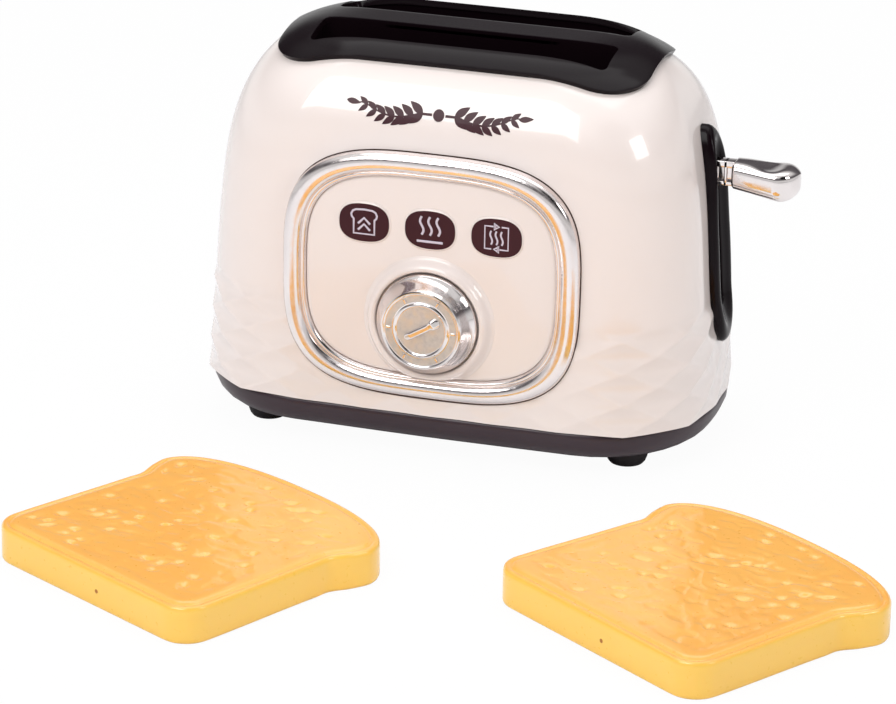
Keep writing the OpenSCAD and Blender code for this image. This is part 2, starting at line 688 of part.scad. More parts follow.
// Lever: a ribbed stem and a thumb paddle that widens to a round end
handle_x = side_x(slit_low - 2) + trim_crest + moving;
module lever_handle() color(chrome) difference() {
    union() {
        translate([stem_from, -stem_w / 2, lever_z - stem_h / 2]) cube([11, stem_w, stem_h]);
        bar_l = handle_x + over - stem_from;
        translate([stem_from, -stem_w / 2, lever_z + stem_h / 2 - 2.4]) cube([bar_l, stem_w, 2.4]);
        translate([stem_from, -stem_w / 2, lever_z - stem_h / 2]) cube([bar_l, stem_w, 1.4]);
        translate([stem_from, -0.8, lever_z - stem_h / 2]) cube([bar_l, 1.6, stem_h]);
        for (x = [stem_from + 14 : 3.4 : handle_x]) translate([x, -stem_w / 2, lever_z - stem_h / 2])
            cube([1.2, stem_w, stem_h]);
        paddle();
    }
    round_x(stem_from - over, 0, lever_z, screw_hole, 9);
}
paddle_stations = [0, 0.02, 0.2, 0.38, 0.54, 0.68, 0.78, 0.87, 0.94, 0.985, 1];
paddle_sides = 24;
// Half width, top and bottom of the paddle at t along it, 0 at the stem and 1 at the tip
function tip_round(t) = t < 0.68 ? 1 : sqrt(max(0.0004, 1 - pow((t - 0.68) / 0.32, 2)));
function edge_round(t) = t < 0.02 ? 0.86 : 1;
function paddle_half(t) = (handle_w / 2 - 2.8 * max(0, 1 - t / 0.68)) * tip_round(t) * edge_round(t);
function paddle_top(t) = 5 * edge_round(t) - 1.6 * pow(max(0, (t - 0.72) / 0.28), 2);
function paddle_low(t) = (-5.2 * edge_round(t) - 2.8 * min(1, t / 0.75))
    + 5 * (1 - sqrt(max(0, 1 - pow(max(0, (t - 0.72) / 0.28), 2))));
dimple = 1.1;
module paddle() {
    n = paddle_sides;
    m = len(paddle_stations);
    points = [for (t = paddle_stations) for (k = [0 : n - 1]) let (a = 360 * k / n,
            top = paddle_top(t), low = paddle_low(t), mid = (top + low) / 2,
            c = sign(cos(a)) * pow(abs(cos(a)), 0.7), s = sign(sin(a)) * pow(abs(sin(a)), 0.7),
            sink = s > 0 ? dimple * pow(s, 4) * exp(-pow((t - 0.52) / 0.24, 2)) : 0)
        [handle_x + t * handle_l, paddle_half(t) * c, lever_z + mid + (top - low) / 2 * s - sink]];
    polyhedron(points, concat(
        [[for (k = [0 : n - 1]) k]],
        [for (i = [0 : m - 2]) for (k = [0 : n - 1]) let (q = (k + 1) % n, a = i * n, b = a + n)
            each [[a + k, b + k, b + q], [a + k, b + q, a + q]]],
        [[for (k = [n - 1 : -1 : 0]) (m - 1) * n + k]]));
}
module lever_screw() color(steel) translate([plate_x, 0, lever_z]) rotate([0, 90, 0]) screw(12);

// Black oval trim: its back follows the housing's side, its face is crowned
trim_post_r = 2.5;
trim_sides = 36;
flange_r = 4.2;
// Inner end of a trim post: level with the wall's inside at the screw head's upper edge
function trim_seat_x(z) = side_x(z + flange_r + wall) - wall - 0.6;
module lever_trim() color(black) difference() {
    union() {
        n = trim_sides;
        outline = squircle(trim_w / 2, trim_half, 2.3, n);
        // share of the way out from the middle, and how far from the housing's side; the
        // first level lies inside the housing, and the housing's form is then cut away
        levels = [[0.5, -1.2], [1, -1.2], [1, 0.25 * trim_crest],
            [0.97, 0.62 * trim_crest], [0.9, 0.9 * trim_crest], [0.8, trim_crest],
            [0.62, 0.84 * trim_crest], [0.4, 0.6 * trim_crest], [0.2, 0.5 * trim_crest]];
        m = len(levels);
        ends = [[side_x(trim_mid) - 1.2, 0, trim_mid],
            [side_x(trim_mid) + 0.5 * trim_crest, 0, trim_mid]];
        points = concat([for (v = levels) for (p = outline) let (z = trim_mid + v[0] * p[1])
            [half_x(z) + bulge(side_bulge, z, abs(v[0] * p[0]) / half_y(z)) + v[1], v[0] * p[0], z]],
            ends);
        difference() {
            polyhedron(points, concat(
                [for (k = [0 : n - 1]) [m * n, k, (k + 1) % n]],
                [for (i = [0 : m - 2]) for (k = [0 : n - 1]) let (q = (k + 1) % n, a = i * n, b = a + n)
                    each [[a + k, b + q, a + q], [a + k, b + k, b + q]]],
                [for (k = [0 : n - 1]) [m * n + 1, (m - 1) * n + (k + 1) % n, (m - 1) * n + k]]));
            housing_form(-seat, 2);
        }
        for (z = trim_screw_zs) round_x(trim_seat_x(z) + seat, 0, z, trim_post_r,
            side_x(z) + 0.5 - trim_seat_x(z));
    }
    translate([body_w / 2 - 20, 0, 0]) rotate([90, 0, 90]) linear_extrude(40)
        bar([0, slit_low + slit_w / 2], [0, slit_high - slit_w / 2], slit_w);
    for (z = trim_screw_zs) round_x(trim_seat_x(z) - over, 0, z, screw_hole, 5);
}
module trim_screws() color(steel) for (z = trim_screw_zs)
    translate([trim_seat_x(z), 0, z]) rotate([0, 90, 0]) flange_screw(3.5);

// Screw whose wide head clamps the rim of a hole round a post
module flange_screw(length) {
    difference() {
        translate([0, 0, -1.2]) cylinder(r = flange_r, h = 1.2);
        for (a = [0, 90]) rotate(a) translate([-1.5, -0.35, -1.2 - over]) cube([3, 0.7, over + 0.6]);
    }
    translate([0, 0, -eps]) cylinder(r = screw_r, h = length + eps);
}

// ---- control panel ------------------------------------------------------

// Chrome surround: one rounded section swept round a squircle. Each level gives
// the share of the band's width, from the outer edge, and how far it stands out
bezel_section = [[1, 0], [0, 0], [0, 0.5], [0.06, 0.72], [0.2, 0.9], [0.42, 1], [0.64, 0.92],
    [0.8, 0.72], [0.84, 0.56], [1, 0.54]];
module panel_bezel() color(chrome) union() {
    n = 56;
    m = len(bezel_section);
    depth = pocket_y - bezel_y;
    points = [for (v = bezel_section)
        for (p = squircle(bezel_w / 2 - v[0] * bezel_band, bezel_h / 2 - v[0] * (bezel_band - 0.3)))
            [p[0], pocket_y - v[1] * depth, panel_z + p[1]]];
    polyhedron(points, [for (i = [0 : m - 1]) for (k = [0 : n - 1])
        let (q = (k + 1) % n, a = i * n, b = ((i + 1) % m) * n)
            each [[a + k, b + k, b + q], [a + k, b + q, a + q]]]);
    for (p = bezel_pins) round_y(p[0], pad_y, p[1], pin_r, pad_t + 1);
}

// Cream panel with three raised signs and a raised collar round the knob
sign_w = 20.2;
sign_h = 16;
sign_rise = 0.7;
collar_in = knob_back_r + 0.6;
collar_out = collar_in + 3.2;
collar_rise = 3.7;
collar_lip = 1.6;
module control_panel() color(cream) difference() {
    union() {
        translate([0, 0, panel_z]) facing(pocket_y, panel_t)
            polygon(squircle(panel_half_w - seat, panel_half_h - seat));
        for (i = [-1, 0, 1]) translate([i * oval_pitch, 0, oval_z])
            facing(panel_face + eps, sign_rise + eps) polygon(squircle(sign_w / 2, sign_h / 2, 2.5, 40));
        // the collar is cut off at the panel's lower edge
        intersection() {
            translate([0, panel_face, knob_z]) rotate([90, 0, 0]) rotate_extrude() {
                translate([collar_in, -eps]) square([collar_out - collar_in, collar_rise - collar_lip]);
                translate([collar_in + collar_lip, collar_rise - collar_lip]) circle(collar_lip);
            }
            translate([0, 0, panel_z]) facing(pocket_y, 12)
                polygon(squircle(panel_half_w - seat, panel_half_h - seat));
        }
        for (p = panel_posts) round_y(p[0], pad_y - 0.3, p[1], post_r, pad_t - 0.3);
    }
    round_y(0, pocket_y + over, knob_z, shaft_r + running, panel_t + 2 * over);
    for (p = panel_posts) round_y(p[0], pad_y, p[1], screw_hole, pad_t + 1.4);
}
module panel_screws() color(steel) for (p = panel_posts)
    translate([p[0], pad_y, p[1]]) rotate([90, 0, 0]) flange_screw(3.3);

// ---- knob, cam and latch ------------------------------------------------

spigot_r = 2.8;
spigot_from = panel_face - cam_back + cam_t;
knob_bore = 1.35;
module knob() color(chrome) difference() {
    face = knob_reach - 0.4;
    translate([0, panel_face, knob_z]) rotate([90, 0, 0]) {
        rotate_extrude($fn = 96) polygon([[0, face], [knob_face_r - 5.2, face],
            [knob_face_r - 5, knob_reach], [knob_face_r - 4.4, knob_reach], [knob_face_r - 4.2, face],
            [knob_face_r - 1.2, face], [knob_face_r - 0.9, knob_reach], [knob_face_r - 0.3, knob_reach],
            [knob_face_r + 0.3, knob_reach - 0.5], [knob_back_r, 3.9], [knob_back_r, 1],
            [knob_back_r - 1.6, 1], [knob_back_r - 1.8, 4], [knob_face_r - 1.2, knob_reach - 2.2],
            [shaft_r + 1.6, knob_reach - 2.2], [shaft_r + 1.6, moving], [shaft_r, moving],
            [shaft_r, spigot_from], [spigot_r, spigot_from], [spigot_r, spigot_from - cam_t + 0.2],
            [0, spigot_from - cam_t + 0.2]]);
        // six ticks on the face
        for (a = [0 : 60 : 300]) rotate(a) translate([knob_face_r - 3.7, -0.5, face - eps])
            cube([2.2, 1, 0.5]);
        // pointer bar with a round tip
        rotate(31) translate([0, 0, face - eps]) {
            linear_extrude(1.1) bar([-6.8, 0], [6, 0], 2.4);
            translate([6, 0, 0]) cylinder(r = 1.9, h = 1.4);
        }
    }
    round_y(0, cam_back + over, knob_z, knob_bore, 10);
    // flat that keys the cam
    translate([-4, cam_back - cam_t, knob_z + spigot_r - 0.7]) cube([8, cam_t + 2, 2]);
}

// Cam: its edge keeps the latch's nose on a steady swing while the knob turns.
// Positions are seen from the front, with X to the right and Z up.
function turned(v, a) = [v[0] * cos(a) - v[1] * sin(a), v[0] * sin(a) + v[1] * cos(a)];
function nose_at(turn) = latch_pivot + turned(nose - latch_pivot, latch_swing * turn / knob_turn);
function cam_point(turn) = let (d = turned(nose_at(turn) - [0, knob_z], -turn))
    d * (norm(d) - nose_r - moving) / norm(d);
cam_span = knob_turn + 15;
cam_step = 5;
cam_first = cam_point(cam_span);
cam_last = cam_point(-cam_span);
cam_a0 = atan2(cam_first[1], cam_first[0]);
cam_a1 = atan2(cam_last[1], cam_last[0]);
cam_back_steps = 24;
module release_cam() color(black) translate([0, 0, knob_z]) difference() {
    union() {
        facing(cam_back, cam_t) polygon(concat(
            [for (turn = [cam_span : -cam_step : -cam_span]) cam_point(turn)],
            [for (i = [1 : cam_back_steps - 1]) let (u = i / cam_back_steps,
                    a = cam_a1 + u * (360 + cam_a0 - cam_a1),
                    r = norm(cam_last) + u * (norm(cam_first) - norm(cam_last)))
                [r * cos(a), r * sin(a)]]));
        round_y(0, cam_back - cam_t + eps, 0, shaft_r + 1.4, cam_back - cam_t - pad_y - moving);
    }
    round_y(0, cam_back - cam_t, 0, shaft_r + seat, 10);
    difference() {
        round_y(0, cam_back + over, 0, spigot_r + seat, cam_t + 2 * over);
        translate([-4, cam_back - cam_t - over, spigot_r - 0.6]) cube([8, cam_t + 3 * over, 2]);
    }
}
module cam_screw() color(steel) translate([0, cam_back, knob_z]) rotate([90, 0, 0]) flange_screw(8);

pivot_r = 1.8;
module latch_hook() color(inner_white) difference() {
    facing(latch_back, latch_t) {
        translate(latch_pivot) circle(4.8);
        bar(latch_pivot, nose, 5);
        bar(latch_pivot, [hook_edge - hook_w + 2.6, hook_low + 2.6], 5.2);
        translate([hook_edge - hook_w, hook_low]) square([hook_w, 4]);
    }
    round_y(latch_pivot[0], latch_back + over, latch_pivot[1], pivot_r + running, latch_t + 2 * over);
}
module latch_screw() color(steel) translate([latch_pivot[0], 0, latch_pivot[1]]) {
    round_y(0, latch_back + moving + 1.6, 0, 3.4, 1.6);
    round_y(0, latch_back + moving + eps, 0, pivot_r, latch_t + 2 * moving);
    round_y(0, latch_back - latch_t, 0, screw_r, 3.6);
}
latch_spring_x = spring_peg[0];
latch_spring_r = 1.8;
latch_spring_wire = 0.35;
latch_arm_z = nose[1] + (latch_pivot[1] - nose[1]) * (latch_spring_x - nose[0])
    / (latch_pivot[0] - nose[0]);
latch_spring_path = coil(0, 0, spring_peg[1] + 1.7, latch_arm_z - 2.8, 8, latch_spring_r,
    latch_spring_wire);
module latch_spring() color(steel) translate([latch_spring_x - latch_spring_r, latch_back - latch_t / 2, 0])
    wire(latch_spring_path, latch_spring_wire, [0, 0]);
echo("least gap of a return spring to itself", least_gap(coil(0, 0, rod_socket, carriage_bottom,
    spring_turns, spring_r, spring_wire), spring_wire));
echo("least gap of the latch spring to itself", least_gap(latch_spring_path, latch_spring_wire));

// ---- toast slices -------------------------------------------------------

// Right half of the slice's outline, from the foot's middle to the crown's middle
foot_corner = 10.5;
neck_y = 0.69;
head_y = 0.78;
function toast_half() = let (w = toast_foot / 2, h = toast_w / 2, r = foot_corner) concat(
    [for (i = [0 : 4]) let (t = 90 * i / 4) [w - r + r * sin(t), r - r * cos(t)]],
    [[w - 1.2, toast_h * (neck_y - 0.09)], [w - 1.6, toast_h * neck_y], [h - 1.6, toast_h * (head_y - 0.04)]],
    [for (i = [0 : 8]) let (t = 90 * i / 8)
        [h * pow(cos(t), 0.85), toast_h * (head_y + (1 - head_y) * pow(sin(t), 0.85))]]);
toast_right_half = toast_half();
toast_outline = concat(toast_right_half,
    [for (i = [len(toast_right_half) - 2 : -1 : 0]) [-toast_right_half[i][0], toast_right_half[i][1]]]);
// Levels of the slice: how far each draws in, and its height. A groove runs
// round the face, inside the crust
toast_levels = [[1.6, 0], [0.4, 0.6], [0, 1.8], [0, toast_t - 2], [0.5, toast_t - 0.8],
    [1.8, toast_t - 0.2], [3, toast_t - 0.9], [4.2, toast_t - 0.5], [6, toast_t]];
function drawn_in(p, d) = [p[0] * (1 - 2 * d / toast_w), toast_h / 2 + (p[1] - toast_h / 2)
    * (1 - 2 * d / toast_h)];
// Where each slice lies: the foot's middle, and its turn
toast_left_at = [-72.1, -212.8, -28.8];
toast_right_at = [99.4, -193.9, -34.5];
module toast(at) color(toast_colour) translate([at[0], at[1], 0]) rotate(at[2]) {
    n = len(toast_outline);
    m = len(toast_levels);
    polyhedron([for (v = toast_levels) for (p = toast_outline) let (q = drawn_in(p, v[0]))
            [q[0], q[1], v[1]]], concat(
        [[for (k = [0 : n - 1]) k]],
        [for (i = [0 : m - 2]) for (k = [0 : n - 1]) let (q = (k + 1) % n, a = i * n, b = a + n)
            each [[a + k, b + k, b + q], [a + k, b + q, a + q]]],
        [[for (k = [n - 1 : -1 : 0]) (m - 1) * n + k]]));
}

// ---- pieces -------------------------------------------------------------

body_shell();
top_cover();
base_tray();
foot(0);  // foot_front_left
foot(1);  // foot_front_right
foot(2);  // foot_rear_left
foot(3);  // foot_rear_right
base_screws();
cover_screws();
panel_bezel();
control_panel();
panel_screws();
lever_trim();
trim_screws();
bread_well(-1);  // bread_well_front
bread_well(1);  // bread_well_rear
well_screws();
guide_rod(-1);  // guide_rod_front
guide_rod(1);  // guide_rod_rear
rod_bracket();
bracket_screws();
carriage();
return_spring(-1);  // return_spring_front
return_spring(1);  // return_spring_rear
lever_handle();
lever_screw();
knob();
release_cam();
cam_screw();
latch_hook();
latch_screw();
latch_spring();
toast(toast_left_at);  // toast_left
toast(toast_right_at);  // toast_right
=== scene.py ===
import bpy, math, random
from mathutils import Matrix, Vector, noise


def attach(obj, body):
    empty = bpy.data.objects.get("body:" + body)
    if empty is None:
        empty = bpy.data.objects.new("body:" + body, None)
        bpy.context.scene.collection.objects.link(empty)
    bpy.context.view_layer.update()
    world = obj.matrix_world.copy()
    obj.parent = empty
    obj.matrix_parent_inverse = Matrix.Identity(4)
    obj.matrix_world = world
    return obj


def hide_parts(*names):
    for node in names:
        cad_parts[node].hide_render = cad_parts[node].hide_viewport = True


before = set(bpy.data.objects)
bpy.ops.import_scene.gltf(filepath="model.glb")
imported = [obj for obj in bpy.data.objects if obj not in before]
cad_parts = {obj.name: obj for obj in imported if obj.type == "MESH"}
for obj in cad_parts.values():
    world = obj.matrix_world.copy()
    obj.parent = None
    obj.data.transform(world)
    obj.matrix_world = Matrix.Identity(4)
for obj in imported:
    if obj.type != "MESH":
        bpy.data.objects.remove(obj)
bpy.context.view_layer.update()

mm = 0.001

# ---- helpers

def setMode(mode):
    bpy.ops.object.mode_set(mode=mode)

def deselectAll():
    if bpy.context.object and bpy.context.object.mode != "OBJECT":
        setMode("OBJECT")
    bpy.ops.object.select_all(action="DESELECT")

def makeActive(piece):
    deselectAll()
    piece.select_set(True)
    bpy.context.view_layer.objects.active = piece

def closeSeams(piece, outward=True):  # merge doubles and turn the faces outwards
    makeActive(piece)
    setMode("EDIT")
    bpy.ops.mesh.select_all(action="SELECT")
    bpy.ops.mesh.remove_doubles(threshold=0.000002)
    if outward:
        bpy.ops.mesh.normals_make_consistent(inside=False)
    setMode("OBJECT")

def smooth(piece, angle=35):
    makeActive(piece)
    bpy.ops.object.shade_smooth_by_angle(angle=math.radians(angle))

def splitFaces(piece, rising):  # into triangles, along the rising or the falling diagonal of each
    for method, wanted in (("FIXED", True), ("FIXED_ALTERNATE", False)):
        for face in piece.data.polygons:
            u, v = (face.center.x + 1) / 2, (face.center.y + 1) / 2
            face.select = len(face.vertices) == 4 and rising(u, v) == wanted
        setMode("EDIT")
        bpy.ops.mesh.quads_convert_to_tris(quad_method=method)
        bpy.ops.mesh.select_all(action="DESELECT")
        setMode("OBJECT")

def wrapGrid(name, columns, rows, placeAt, rising=None):
    # a grid bent into shape: placeAt gives a point in millimetres for u and v from 0 to 1
    deselectAll()
    bpy.ops.mesh.primitive_grid_add(x_subdivisions=columns, y_subdivisions=rows, size=2)
    piece = bpy.context.object
    piece.name = piece.data.name = name
    if rising:
        splitFaces(piece, rising)
    for vertex in piece.data.vertices:
        u = round((vertex.co.x + 1) / 2 * columns) / columns
        v = round((vertex.co.y + 1) / 2 * rows) / rows
        vertex.co = Vector(placeAt(u, v)) * mm
    closeSeams(piece)
    return piece

def closeOpening(piece, fill):  # fill is the edit-mode operator that spans the open edges
    makeActive(piece)
    setMode("EDIT")
    bpy.ops.mesh.select_all(action="DESELECT")
    bpy.ops.mesh.select_non_manifold()
    fill()
    bpy.ops.mesh.select_all(action="SELECT")
    bpy.ops.mesh.normals_make_consistent(inside=False)
    setMode("OBJECT")

def closedRing(name, columns, rows, placeAt):  # a wrapped grid with its back closed
    ring = wrapGrid(name, columns, rows, placeAt)
    closeOpening(ring, bpy.ops.mesh.bridge_edge_loops)
    smooth(ring, 40)
    return ring

def applyAll(piece):
    makeActive(piece)
    for modifier in list(piece.modifiers):
        bpy.ops.object.modifier_apply(modifier=modifier.name)

def solidify(piece, thickness, offset=-1):
    modifier = piece.modifiers.new("wall", "SOLIDIFY")
    modifier.thickness = thickness * mm
    modifier.offset = offset
    modifier.use_even_offset = True
    applyAll(piece)

def deleteFaces(piece, test):  # test takes a face's middle in millimetres
    makeActive(piece)
    setMode("EDIT")
    bpy.ops.mesh.select_all(action="DESELECT")
    setMode("OBJECT")
    for face in piece.data.polygons:
        face.select = test(face.center / mm)
    setMode("EDIT")
    bpy.ops.mesh.delete(type="FACE")
    setMode("OBJECT")

def join(pieces, name):
    deselectAll()
    for piece in pieces:
        piece.select_set(True)
    bpy.context.view_layer.objects.active = pieces[0]
    bpy.ops.object.join()
    pieces[0].name = pieces[0].data.name = name
    return pieces[0]

def finish(piece, body, material, slotName, *nodes):
    piece.data.materials.clear()
    piece.data.materials.append(material)
    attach(piece, body)
    if nodes:
        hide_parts(*nodes)

def refined(node, body, material, slotName, angle):  # a merged, smooth copy of a CAD node
    deselectAll()
    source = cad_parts[node]
    piece = bpy.data.objects.new(node + "Skin", source.data.copy())
    bpy.context.scene.collection.objects.link(piece)
    closeSeams(piece, False)
    smooth(piece, angle)
    finish(piece, body, material, slotName, node)
    return piece

def smoothstep(a, b, x):
    t = min(1, max(0, (x - a) / (b - a)))
    return t * t * (3 - 2 * t)

def power(value, exponent):
    return math.copysign(abs(value) ** exponent, value)

def throughPoints(points, t):  # smooth curve through points, t from 0 to 1
    n = len(points) - 1
    i = min(n - 1, int(t * n))
    f = t * n - i
    p = [points[max(0, min(n, i + k))] for k in (-1, 0, 1, 2)]
    return [b + 0.5 * ((c - a) * f + (2 * a - 5 * b + 4 * c - d) * f ** 2 + (3 * b - a - 3 * c + d) * f ** 3)
            for a, b, c, d in zip(*p)]

def evenSteps(points, count):  # even steps along a line of points: which point, and the share to the next
    run = [0]
    for p, q in zip(points, points[1:]):
        run.append(run[-1] + math.dist(p, q))
    steps, j = [], 0
    for i in range(count):
        goal = run[-1] * i / count
        while run[j + 1] < goal:
            j += 1
        steps.append((j, (goal - run[j]) / max(1e-9, run[j + 1] - run[j])))
    return steps

# ---- materials

def newMaterial(name, colour, roughness, metallic=0, coat=0, coatRoughness=0.05, specular=0.5):
    material = bpy.data.materials.new(name)
    material.use_nodes = True
    shader = material.node_tree.nodes["Principled BSDF"]
    shader.inputs["Base Color"].default_value = (*colour, 1)
    shader.inputs["Roughness"].default_value = roughness
    shader.inputs["Metallic"].default_value = metallic
    shader.inputs["Coat Weight"].default_value = coat
    shader.inputs["Coat Roughness"].default_value = coatRoughness
    shader.inputs["Specular IOR Level"].default_value = specular
    return material, material.node_tree, shader

def addNode(tree, kind, inputs={}):  # an input is given its value, or another node's output
    node = tree.nodes.new("ShaderNode" + kind)
    for name, value in inputs.items():
        if isinstance(value, bpy.types.NodeSocket):
            tree.links.new(value, node.inputs[name])
        else:
            node.inputs[name].default_value = value
    return node

def addNoise(tree, scale, detail=4):
    place = addNode(tree, "TexCoord").outputs["Object"]
    return addNode(tree, "TexNoise", {"Vector": place, "Scale": scale, "Detail": detail}).outputs["Fac"]

def addRange(tree, value, low, high, fromLow=0.3, fromHigh=0.7):
    return addNode(tree, "MapRange", {"Value": value, "From Min": fromLow, "From Max": fromHigh,
                                      "To Min": low, "To Max": high}).outputs["Result"]

def addRamp(tree, value, stops):
    ramp = addNode(tree, "ValToRGB", {"Fac": value})
    for i, (place, colour) in enumerate(stops):
        if i > 1:
            ramp.color_ramp.elements.new(place)
        element = ramp.color_ramp.elements[i]
        element.position = place
        element.color = (*colour, 1)
    return ramp.outputs["Color"]

def addBump(tree, shader, height, strength, distance):
    bump = addNode(tree, "Bump", {"Height": height, "Strength": strength, "Distance": distance})
    tree.links.new(bump.outputs["Normal"], shader.inputs["Normal"])

def plasticMaterial(name, dark, light, roughness, coat, grainScale=900, bump=0.02, specular=0.5):
    material, tree, shader = newMaterial(name, light, roughness, 0, coat, 0.02, specular)
    tint = addRamp(tree, addNoise(tree, 14, 3), [(0.3, dark), (0.7, light)])
    tree.links.new(tint, shader.inputs["Base Color"])
    grain = addNoise(tree, grainScale, 3)
    gloss = addRange(tree, grain, roughness * 0.96, roughness * 1.05)
    tree.links.new(gloss, shader.inputs["Roughness"])
    addBump(tree, shader, grain, bump, 0.0002)
    return material

def platingMaterial(name, colour, roughness, waves):
    material, tree, shader = newMaterial(name, colour, roughness, 1)
    darker = [c * 0.9 for c in colour]
    tint = addRamp(tree, addNoise(tree, 60, 3), [(0.3, darker), (0.7, colour)])
    tree.links.new(tint, shader.inputs["Base Color"])
    gloss = addRange(tree, addNoise(tree, 500, 4), roughness * 0.7, roughness * 1.6)
    tree.links.new(gloss, shader.inputs["Roughness"])
    addBump(tree, shader, addNoise(tree, 45, 2), waves, 0.0006)
    return material

cream = plasticMaterial("creamPlastic", (0.86, 0.77, 0.735), (0.87, 0.78, 0.745), 0.24, 0.9, bump=0.002)
black = plasticMaterial("blackPlastic", (0.005, 0.002, 0.0035), (0.007, 0.0035, 0.005), 0.17, 0,
                        grainScale=800, bump=0.004, specular=0.12)
baseBlack = plasticMaterial("basePlastic", (0.034, 0.018, 0.026), (0.040, 0.023, 0.031), 0.3, 0,
                            bump=0.006, specular=0.4)
soleBlack = plasticMaterial("footPlastic", (0.012, 0.009, 0.011), (0.016, 0.012, 0.014), 0.45, 0,
                            bump=0.04, specular=0.3)
wellBlack = plasticMaterial("wellPlastic", (0.002, 0.002, 0.002), (0.003, 0.003, 0.003), 0.6, 0,
                            bump=0.01, specular=0.1)
# painted shade: dark brown for the shadow in the gap round the surround
gapShadowBrown = plasticMaterial("seamShade", (0.055, 0.030, 0.026), (0.07, 0.04, 0.034), 0.6, 0,
                            bump=0.01, specular=0.1)
innerPlastic = plasticMaterial("innerPlastic", (0.02, 0.02, 0.02), (0.03, 0.03, 0.03), 0.55, 0)
chrome = platingMaterial("chromePlating", (0.86, 0.81, 0.80), 0.09, 0.02)
softChrome = platingMaterial("softPlating", (0.86, 0.80, 0.79), 0.15, 0.02)
satin = platingMaterial("satinPlating", (0.70, 0.66, 0.63), 0.5, 0.0)
steel = platingMaterial("screwSteel", (0.60, 0.60, 0.61), 0.28, 0.05)
print("materials ready")

# ---- housing

housing = {
    "width": 195, "depth": 110.5, "cornerRadius": 35, "low": 18, "top": 149.5, "wall": 2.2,
    "sideBulge": 2.5, "frontBulge": 1, "bulgeFade": 0.8,
    "sideTaper": 6.4, "sideShoulder": 30, "sideRound": 59.6, "sidePower": 4.5,
    "frontTaper": 3, "frontShoulder": 105, "frontRound": 30, "frontPower": 2.1,
    "reliefStep": 6, "reliefRows": 7, "reliefDepth": 0.36, "reliefSwell": 0.8,
    "fadeFrom": 54, "fadeTo": 60, "skinTop": 148.6, "finer": 8, "bandShare": 0.53,
    "slitHalf": 4, "slitLow": 53.5, "slitHigh": 114,
    "openingMiddle": 71.2, "openingHalfWidth": 53, "openingHalfHeight": 43.5,
    "roofHalfX": 50, "roofHalfY": 16, "roofReach": 16, "roofFrom": 130,
}
sideColumns, cornerColumns, frontColumns = 4, 4, 10
halfColumns = sideColumns + 2 * cornerColumns + frontColumns

def shoulder(z, start, depth, exponent):
    u = min(1, max(0, (z - start) / (housing["top"] - start)))
    return depth * (1 - (1 - u ** exponent) ** (1 / exponent))

def lean(z, taper):
    return taper * (z - housing["low"]) / (housing["top"] - housing["low"])

def halfX(z):
    return housing["width"] / 2 - housing["sideBulge"] - lean(z, housing["sideTaper"]) - shoulder(
        z, housing["sideShoulder"], housing["sideRound"], housing["sidePower"])

def halfY(z):
    return housing["depth"] / 2 - housing["frontBulge"] - lean(z, housing["frontTaper"]) - shoulder(
        z, housing["frontShoulder"], housing["frontRound"], housing["frontPower"])

def bulge(depth, z, share):  # share runs from 0 in a wall's middle to 1 at its corners
    return depth * (1 - lean(z, housing["bulgeFade"])) * (1 - min(1, share) ** 2) ** 4

def sideX(y, z):
    return halfX(z) + bulge(housing["sideBulge"], z, abs(y) / halfY(z))

def frontY(x, z):
    return halfY(z) + bulge(housing["frontBulge"], z, abs(x) / halfX(z))

def outlineAt(a, b, r, s):
    if s >= halfColumns:
        x, y = outlineAt(a, b, r, s - halfColumns)
        return -x, -y
    if s < sideColumns:
        return a, (b - r) * (2 * s / sideColumns - 1)
    s -= sideColumns
    if s < cornerColumns:
        t = math.radians(90 * s / cornerColumns)
        return a - r + r * math.cos(t), b - r + r * math.sin(t)
    s -= cornerColumns
    if s < frontColumns:
        return (a - r) * (1 - 2 * s / frontColumns), b
    t = math.radians(90 + 90 * (s - frontColumns) / cornerColumns)
    return r - a + r * math.cos(t), b - r + r * math.sin(t)

def housingAt(z, s, inset=0):
    a, b = halfX(z) - inset, halfY(z) - inset
    r = min(housing["cornerRadius"] - inset, a - 1, b - 1)
    x, y = outlineAt(a, b, r, s % (2 * halfColumns))
    x += math.copysign(bulge(housing["sideBulge"], z, abs(y) / b), x)
    y += math.copysign(bulge(housing["frontBulge"], z, abs(x) / a), y)
    return Vector((x, y, z))

def reliefAt(s, z):  # point of the diamond band: straight ridges, dished between them
    k = (z - housing["low"]) / housing["reliefStep"]
    p, q = (s + k - 1) / 2, (k - s - 1) / 2  # place in the lattice of the ridges
    p0, q0 = math.floor(p), math.floor(q)
    f, g = p - p0, q - q0
    def corner(i, j):
        column, row = i - j, i + j + 1
        swell = housing["reliefSwell"] if row < housing["reliefRows"] else 0
        return housingAt(housing["low"] + row * housing["reliefStep"], column, -swell)
    low, right, left, high = corner(p0, q0), corner(p0 + 1, q0), corner(p0, q0 + 1), corner(p0 + 1, q0 + 1)
    point = low * (1 - f) * (1 - g) + right * f * (1 - g) + left * (1 - f) * g + high * f * g
    dish = 16 * f * (1 - f) * g * (1 - g)  # 0 on the ridges, 1 in the middle of a diamond
    inward = housingAt(z, s, 1) - housingAt(z, s)
    point = point + inward * (dish * housing["reliefDepth"])
    point.z = z
    return point

bandRows = housing["reliefRows"] * housing["finer"]
skinRows = round(bandRows / housing["bandShare"])
reliefShare = bandRows / skinRows  # of the skin's rows lie in the diamond band

def skinAt(u, v):
    s = u * 2 * halfColumns
    if v <= reliefShare + 0.0001:
        z = housing["low"] + (housing["fadeTo"] - housing["low"]) * v / reliefShare
        fade = smoothstep(housing["fadeFrom"], housing["fadeTo"], z)
        return reliefAt(s, z).lerp(housingAt(z, s), fade)
    t = (v - reliefShare) / (1 - reliefShare)
    t = 1 - (1 - t) ** 1.6  # rows draw together towards the roof
    return housingAt(housing["fadeTo"] + (housing["skinTop"] - housing["fadeTo"]) * t, s)

